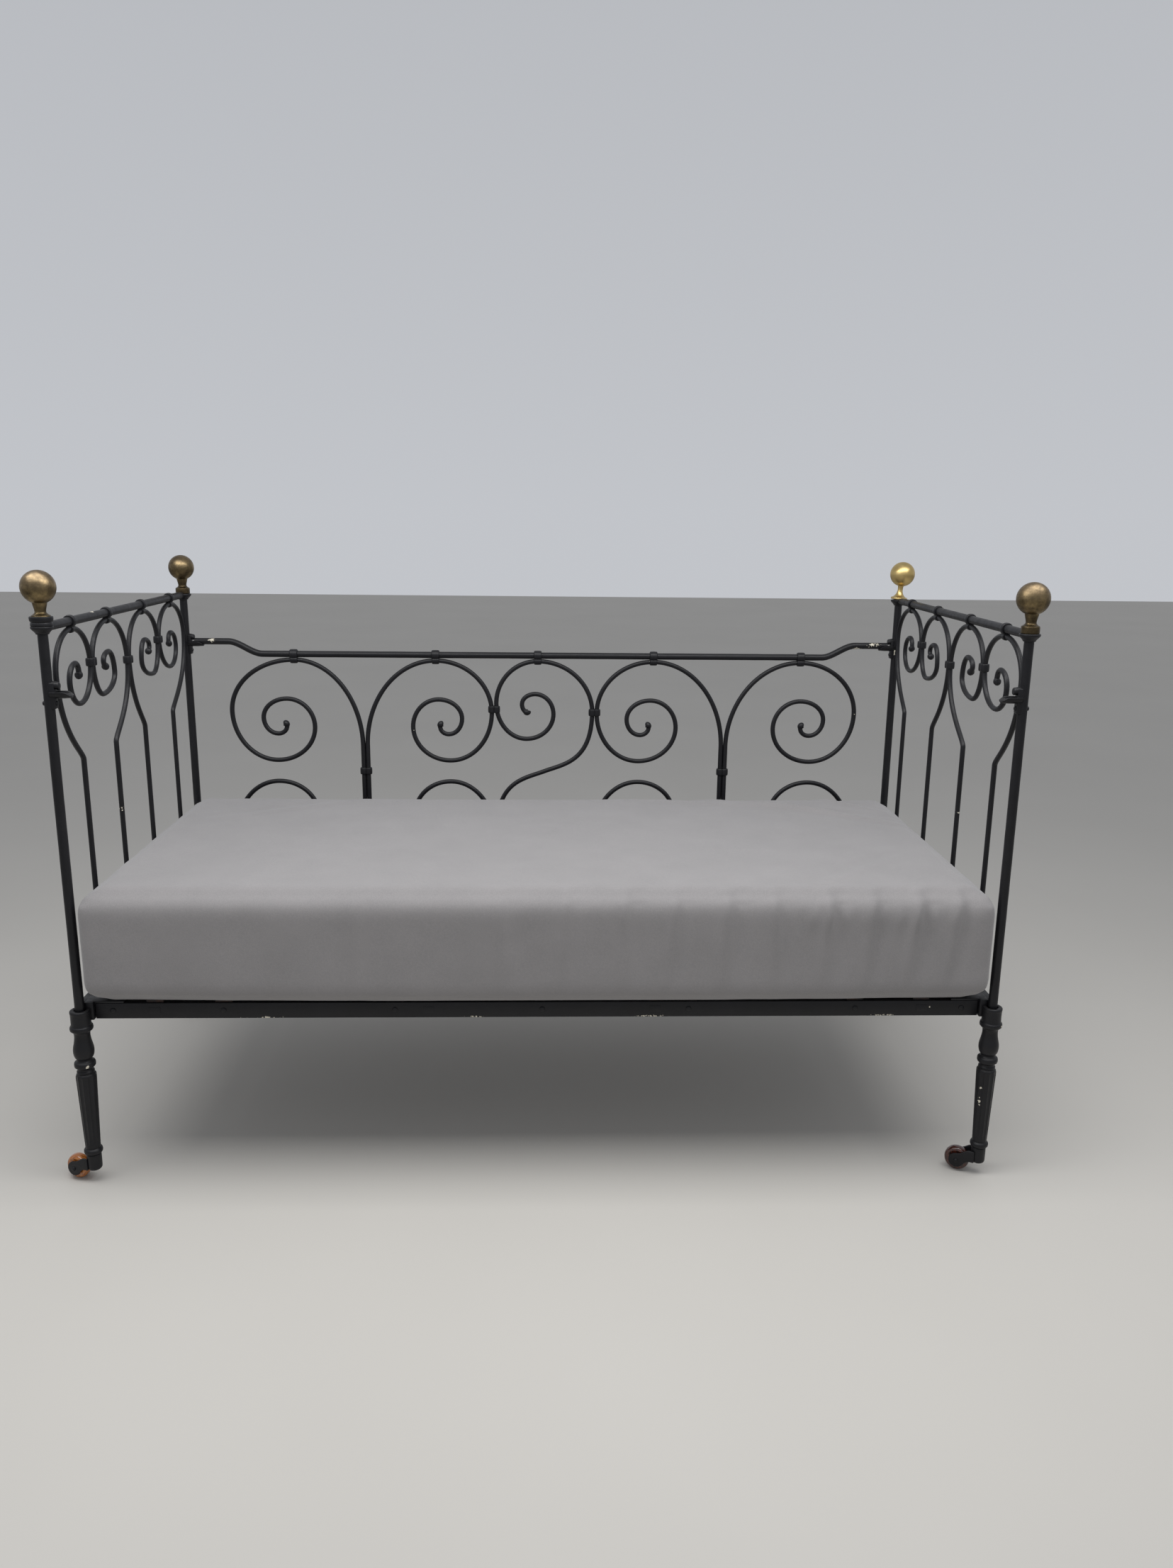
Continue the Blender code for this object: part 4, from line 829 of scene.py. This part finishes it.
# ---------------------------------------------------------------- the back panel
# A separate panel that lifts out: a top rail raised at its ends to lie in the hooks, a plain
# bottom rail, and between them four C scrolls and one S scroll of 9 mm bar.
crown_share = {"outer_left": 0.506, "inner_left": 0.558, "inner_right": 0.558, "outer_right": 0.558}
c_turns = ((1.0, 0.538), (0.664, 0.097), (0.368, 0.405), (0.576, 0.653),
           (0.761, 0.481), (0.653, 0.338), (0.584, 0.407), (0.612, 0.441))
s_turns = ((-0.138, 1.0), (-1.0, 0.62), (-0.371, 0.299), (0.191, 0.525), (-0.191, 0.706),
           (-0.466, 0.615), (-0.36, 0.543), (-0.307, 0.557))
panel_rod_r = 0.0045
scroll_low, scroll_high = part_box("back_scroll_outer_right")
panel_mid = (scroll_low.z + scroll_high.z) / 2
panel_half = scroll_high.z - panel_rod_r - panel_mid
tie_x = centre("back_tie_upper_right").x
bar_half = 0.051
panel_top = scroll_high.z + touch + panel_rail_r
panel_bottom = centre("back_bottom_rail").z


def c_scroll(bar_x, side_x, crown):
    """A tall C: an upright bar with the same spiral at its top and bottom, as (x, z)."""
    shares = [(crown, 1.0)] + list(c_turns)
    turns = [(bar_x + u * (side_x - bar_x), v * panel_half) for u, v in shares]
    upper = coil((bar_x, bar_half), turns)
    lower = [(x, -z) for x, z in reversed(upper)]
    straight = [(bar_x, bar_half * k / 8) for k in range(-7, 8)]
    return lower + straight + upper


def s_scroll(side_x):
    """The centre scroll, the same after half a turn, as (x, z)."""
    right = (side_x, 0.543 * panel_half)
    middle = sweep((0.0, 0.0), (0.41 * side_x, 0.068 * panel_half), (side_x, 0.09 * panel_half), right, 24)
    upper = middle[:-1] + coil(right, [(u * side_x, v * panel_half) for u, v in s_turns])
    lower = [(-x, -z) for x, z in reversed(upper)]
    return lower + [(0.0, 0.0)] + upper


panel_scrolls = {"centre": s_scroll(tie_x - panel_rod_r)}
crowns = []
for hand, sign in (("left", -1), ("right", 1)):
    pair_x = abs(centre("back_tie_pair_" + hand).x)
    outer_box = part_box("back_scroll_outer_" + hand)
    reach = max(abs(outer_box[0].x), abs(outer_box[1].x)) - panel_rod_r
    for key, bar_x, side_x in (("outer_" + hand, pair_x + panel_rod_r, reach),
                               ("inner_" + hand, pair_x - panel_rod_r, tie_x + panel_rod_r)):
        outline = c_scroll(bar_x, side_x, crown_share[key])
        panel_scrolls[key] = [(sign * x, z) for x, z in outline]
        crowns.append(sign * (bar_x + crown_share[key] * (side_x - bar_x)))
for key, outline in panel_scrolls.items():
    path = [(x, post_y, panel_mid + z) for x, z in outline]
    middle = len(path) // 2
    upper, upper_radii = knobbed(path[middle:], panel_rod_r, 0.0067)
    lower, lower_radii = knobbed(path[middle::-1], panel_rod_r, 0.0067)
    path = lower[::-1] + upper[1:]
    radii = lower_radii[::-1] + upper_radii[1:]
    piece("panel_scroll_" + key, [bar(path, radii, 14)], black_paint, ["back_scroll_" + key],
          "back_panel")

for key in ("pair_left", "pair_right", "upper_left", "upper_right", "lower_left", "lower_right"):
    at = centre("back_tie_" + key)
    meshes = [put(lathe(barrel(0.0135, 0.0073, 0.0047), 24), at + Vector((side * panel_rod_r, 0, 0)))
              for side in (-1, 1)]
    piece("panel_tie_bead_" + key, meshes, black_paint, ["back_tie_" + key], "back_panel")

centre_crown = s_turns[0][0] * (tie_x - panel_rod_r)
panel_rail_paint = painted_iron(
    "black_enamel_wrought_iron_chipped_rail",
    [((-0.640, post_y - 0.004, 0.766), (0.018, 0.006, 0.008), 0.9),
     ((0.612, post_y - 0.004, 0.758), (0.020, 0.007, 0.009), 0.9),
     ((0.645, post_y - 0.004, 0.766), (0.024, 0.007, 0.008), 0.85)])
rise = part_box("back_top_rail")[1].z - panel_rail_r - panel_top
rail_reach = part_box("back_top_rail")[1].x
low_x, high_x = post_x - 0.145, post_x - 0.080
half = [(low_x * k / 60, 0.0) for k in range(61)]
for k in range(1, 25):
    t = k / 24
    half.append((low_x + t * (high_x - low_x), rise * (3 * t * t - 2 * t ** 3)))
half += [(high_x + (rail_reach - high_x) * k / 10, rise) for k in range(1, 11)]
path = [(-x, z) for x, z in reversed(half[1:])] + half
path = [(x, post_y, panel_top + z) for x, z in path]
meshes = [bar(path, forged(path, panel_rail_r), 16)]
bottom_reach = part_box("back_bottom_rail")[1].x
low_path = [(bottom_reach * k / 40, post_y, panel_bottom) for k in range(-40, 41)]
bottom_meshes = [bar(low_path, forged(low_path, panel_rail_r), 16)]
for z, group, sign in ((panel_top, meshes, 1), (panel_bottom, bottom_meshes, -1)):
    for x in crowns + [sign * centre_crown]:
        group.append(put(lathe(barrel(0.0150, 0.0096, 0.0064), 28), (x, post_y, z), "X"))
        lobe_z = z - sign * (panel_rail_r + panel_rod_r)
        group.append(put(lathe(barrel(0.0140, 0.0074, 0.0044), 24), (x, post_y, lobe_z), "X"))
piece("panel_rail_top", meshes, panel_rail_paint, ["back_top_rail"], "back_panel")
piece("panel_rail_bottom", bottom_meshes, black_paint, ["back_bottom_rail"], "back_panel")


# ---------------------------------------------------------------- the mattress
# A foam block in a sewn cover of grey cotton twill. It lies on the slats. The cover is loose
# enough to crease down the front and across one back corner, and its lower edge is drawn up.
def cotton_twill():
    """Woven cotton twill: fine slanting ribs, a faint mottle of lighter yarn, and a soft sheen."""
    mat, tree, place = new_material("woven_grey_cotton_twill")
    base = mixed(tree, clouds(tree, place, 14.0, 5.0, 0.6), "#757374", "#848182")
    # twill ribs are 0.7 mm apart; they are drawn 1.8 mm apart so that they show
    ribs = add_node(tree, "ShaderNodeTexWave", {"bands_direction": "DIAGONAL"}, Vector=place,
                    Scale=0.628 / 0.0018, Distortion=1.2, Detail=2.0, Detail_Scale=2.0)
    yarn = clouds(tree, place, 600.0, 2.0)
    thread = maths(tree, "MULTIPLY_ADD", ribs.outputs["Fac"], 0.5, yarn)
    shade = mapped(tree, thread, 0.35, 1.15, 0.0, 0.32)
    dress(tree, thread, 0.35, 0.00035, Base_Color=mixed(tree, shade, base, "#a9a6a2"),
          Roughness=0.85, Sheen_Weight=0.25, Sheen_Roughness=0.45)
    return mat


pad_low, pad_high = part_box("mattress")
pad_mid = (pad_low + pad_high) / 2
pad_size = pad_high - pad_low
swell_cap = 0.007                  # the most that the pressure may move the cover


def baked(obj):
    """The object with its modifiers applied to its mesh."""
    graph = bpy.context.evaluated_depsgraph_get()
    data = bpy.data.meshes.new_from_object(obj.evaluated_get(graph))
    obj.modifiers.clear()
    obj.data = data
    return data


def puffed_block():
    """The block under its cover: remeshed, blown up a little by cloth pressure, and capped."""
    bm = bmesh.new()
    bmesh.ops.create_cube(bm, size=1.0)
    shrunk = pad_size - Vector((0.006, 0.006, 0.006))
    bm.transform(Matrix.Translation(pad_mid) @ Matrix.Diagonal((*shrunk, 1.0)))
    upright = [e for e in bm.edges if abs(e.verts[0].co.z - e.verts[1].co.z) > 0.01]
    bmesh.ops.bevel(bm, geom=upright, offset=0.014, segments=4, profile=0.5, affect="EDGES")
    level = [e for e in bm.edges if e.calc_face_angle(0) > 1.0]
    bmesh.ops.bevel(bm, geom=level, offset=0.026, segments=5, profile=0.5, affect="EDGES")
    obj = bpy.data.objects.new("mattress_cover", meshed(bm, "mattress_cover"))
    scene.collection.objects.link(obj)
    bpy.context.view_layer.objects.active = obj
    remesh = obj.modifiers.new("voxels", "REMESH")
    remesh.mode = "VOXEL"
    remesh.voxel_size = 0.010
    data = baked(obj)
    rest = np.array([v.co for v in data.vertices])
    outward = np.array([v.normal for v in data.vertices])
    cloth = obj.modifiers.new("cover", "CLOTH")
    cloth.settings.use_pressure = True
    cloth.settings.uniform_pressure_force = 4.0
    cloth.settings.effector_weights.gravity = 0.0
    cloth.settings.tension_stiffness = 20.0
    cloth.settings.quality = 5
    cloth.point_cache.frame_start = 1
    cloth.point_cache.frame_end = 20
    for step in range(1, 21):
        scene.frame_set(step)
    graph = bpy.context.evaluated_depsgraph_get()
    blown = obj.evaluated_get(graph).to_mesh()
    moved = np.array([v.co for v in blown.vertices]) - rest
    obj.evaluated_get(graph).to_mesh_clear()
    obj.modifiers.clear()
    scene.frame_set(1)
    swell = np.clip(np.sum(moved * outward, axis=1), 0.0, swell_cap)
    rest += outward * swell[:, None]
    data.vertices.foreach_set("co", rest.ravel())
    finer = obj.modifiers.new("smooth", "SUBSURF")
    finer.levels = 1
    finer.render_levels = 1
    baked(obj)
    return obj


def bell(value, middle, width):
    """A smooth hump of height 1 round a middle."""
    return np.exp(-((value - middle) / width) ** 2)


cover = puffed_block()
points = np.array([v.co for v in cover.data.vertices])
normals = np.array([v.normal for v in cover.data.vertices])
px, py, pz = points.T
lift = np.zeros(len(points))
top = np.clip((normals[:, 2] - 0.3) / 0.5, 0, 1)
front = np.clip((-normals[:, 1] - 0.2) / 0.6, 0, 1)
rise_share = np.clip((pz - pad_low.z) / pad_size.z, 0, 1)
# creases hang down the front, mostly on its right half: (place, width, depth, lean)
creases = ((-0.28, 0.010, 0.0010, 0.05), (-0.06, 0.012, 0.0012, -0.06), (0.03, 0.009, 0.0014, 0.05),
           (0.12, 0.012, 0.0022, -0.03), (0.19, 0.009, 0.0016, 0.06), (0.27, 0.012, 0.0026, 0.02),
           (0.345, 0.010, 0.0022, -0.05), (0.42, 0.012, 0.0030, 0.03), (0.485, 0.009, 0.0024, 0.07),
           (0.55, 0.011, 0.0030, 0.10), (0.61, 0.009, 0.0022, 0.12))
fade = np.clip(rise_share * 1.25 - 0.12, 0, 1)
for at, width, depth, lean in creases:
    middle = at + lean * (pz - pad_mid.z)
    fold = bell(px, middle, width) - 0.8 * bell(px, middle + 1.9 * width, width * 1.2)
    lift += 2.2 * front * depth * fade * fold
# small gathers just under the top edge, near the right end
for k in range(9):
    at = 0.40 + 0.026 * k
    lift += 0.0024 * front * bell(px, at, 0.006) * bell(pz, pad_high.z - 0.035, 0.018)
# slanting wrinkles on the top: (x, y, direction, length, width, depth)
wrinkles = ((0.44, 0.17, -25, 0.16, 0.010, 0.0030), (0.53, 0.12, -32, 0.13, 0.009, 0.0026),
            (0.30, 0.20, -12, 0.15, 0.012, 0.0016), (0.56, 0.21, -45, 0.08, 0.008, 0.0020),
            (-0.45, 0.16, 30, 0.12, 0.012, 0.0010), (0.50, -0.22, 40, 0.10, 0.012, 0.0012))
for wx, wy, direction, length, width, depth in wrinkles:
    a = math.radians(direction)
    along = (px - wx) * math.cos(a) + (py - wy) * math.sin(a)
    across = (py - wy) * math.cos(a) - (px - wx) * math.sin(a)
    fold = bell(across, 0, width) - 0.6 * bell(across, 1.7 * width, width)
    lift += 1.8 * top * depth * bell(along, 0, length) * fold
# the whole cover is a little uneven
wander = np.array([noise.noise(Vector(p) * 9) + 0.4 * noise.noise(Vector(p) * 24) for p in points])
lift += 0.0009 * wander
points += normals * lift[:, None]
# the lower front edge is drawn up, most of all towards the ends
low_share = np.clip(1 - (points[:, 2] - pad_low.z) / 0.06, 0, 1)
edge_share = np.clip(1 - (points[:, 1] - pad_low.y) / 0.10, 0, 1)
drawn_up = 0.002 + 0.007 * (points[:, 0] / pad_high.x) ** 2
points[:, 2] += drawn_up * low_share * edge_share
# it lies flat on the slats
points[:, 2] = np.maximum(points[:, 2], pad_low.z - 0.0005)
cover.data.vertices.foreach_set("co", points.ravel())
cover.data.materials.clear()
cover.data.materials.append(cotton_twill())
cover.data.shade_smooth()
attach(cover, "root")
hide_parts("mattress")


# ---------------------------------------------------------------- floor, light and camera
# A wide pale floor, an overcast sky all round and one big soft light above the front.
def pale_floor():
    """Smooth pale plaster: even, matt, with the faintest clouding."""
    mat, tree, place = new_material("pale_plaster_floor")
    cloud = clouds(tree, place, 1.3, 3.0)
    connect(tree, tree.nodes["Principled BSDF"],
            {"Base Color": mixed(tree, cloud, "#bcb9b3", "#c4c1bb"), "Roughness": 0.75})
    return mat


floor_mesh = bpy.data.meshes.new("floor")
floor_mesh.from_pydata([(-12, -12, 0), (12, -12, 0), (12, 12, 0), (-12, 12, 0)], [], [(0, 1, 2, 3)])
floor_mesh.materials.append(pale_floor())
floor = bpy.data.objects.new("floor", floor_mesh)
scene.collection.objects.link(floor)

sky = bpy.data.worlds.new("overcast_sky")
scene.world = sky
sky.use_nodes = True
background = sky.node_tree.nodes["Background"]
around = add_node(sky.node_tree, "ShaderNodeTexCoord").outputs["Generated"]
upward = add_node(sky.node_tree, "ShaderNodeSeparateXYZ", Vector=around).outputs["Z"]
background.inputs["Color"].default_value = linear("#e9ecf2")
connect(sky.node_tree, background, {"Strength": mapped(sky.node_tree, upward, 0.0, 1.0, 0.66, 0.48)})

lamp = bpy.data.lights.new("soft_overhead", "AREA")
lamp.shape = "RECTANGLE"
lamp.size = 2.8
lamp.size_y = 0.8
lamp.energy = 31
lamp_object = bpy.data.objects.new("soft_overhead", lamp)
lamp_object.location = (0.0, -0.55, 1.65)
scene.collection.objects.link(lamp_object)
scene.view_settings.view_transform = "Standard"

# a wide phone lens, held at eye level when kneeling and tipped down a little
camera = bpy.data.cameras.new("camera")
camera.sensor_fit = "VERTICAL"
camera.sensor_height = 36.0
camera.lens = 26.36
camera.clip_start = 0.01
eye = bpy.data.objects.new("camera", camera)
right = Vector((0.99943, -0.03201, 0.01080))
ahead = Vector((0.03364, 0.97200, -0.23255)).normalized()
right = (right - right.dot(ahead) * ahead).normalized()
upright = right.cross(ahead)
turned = Matrix((right, upright, -ahead)).transposed()
eye.matrix_world = Matrix.Translation((0.0074, -1.9257, 1.0189)) @ turned.to_4x4()
scene.collection.objects.link(eye)
scene.camera = eye
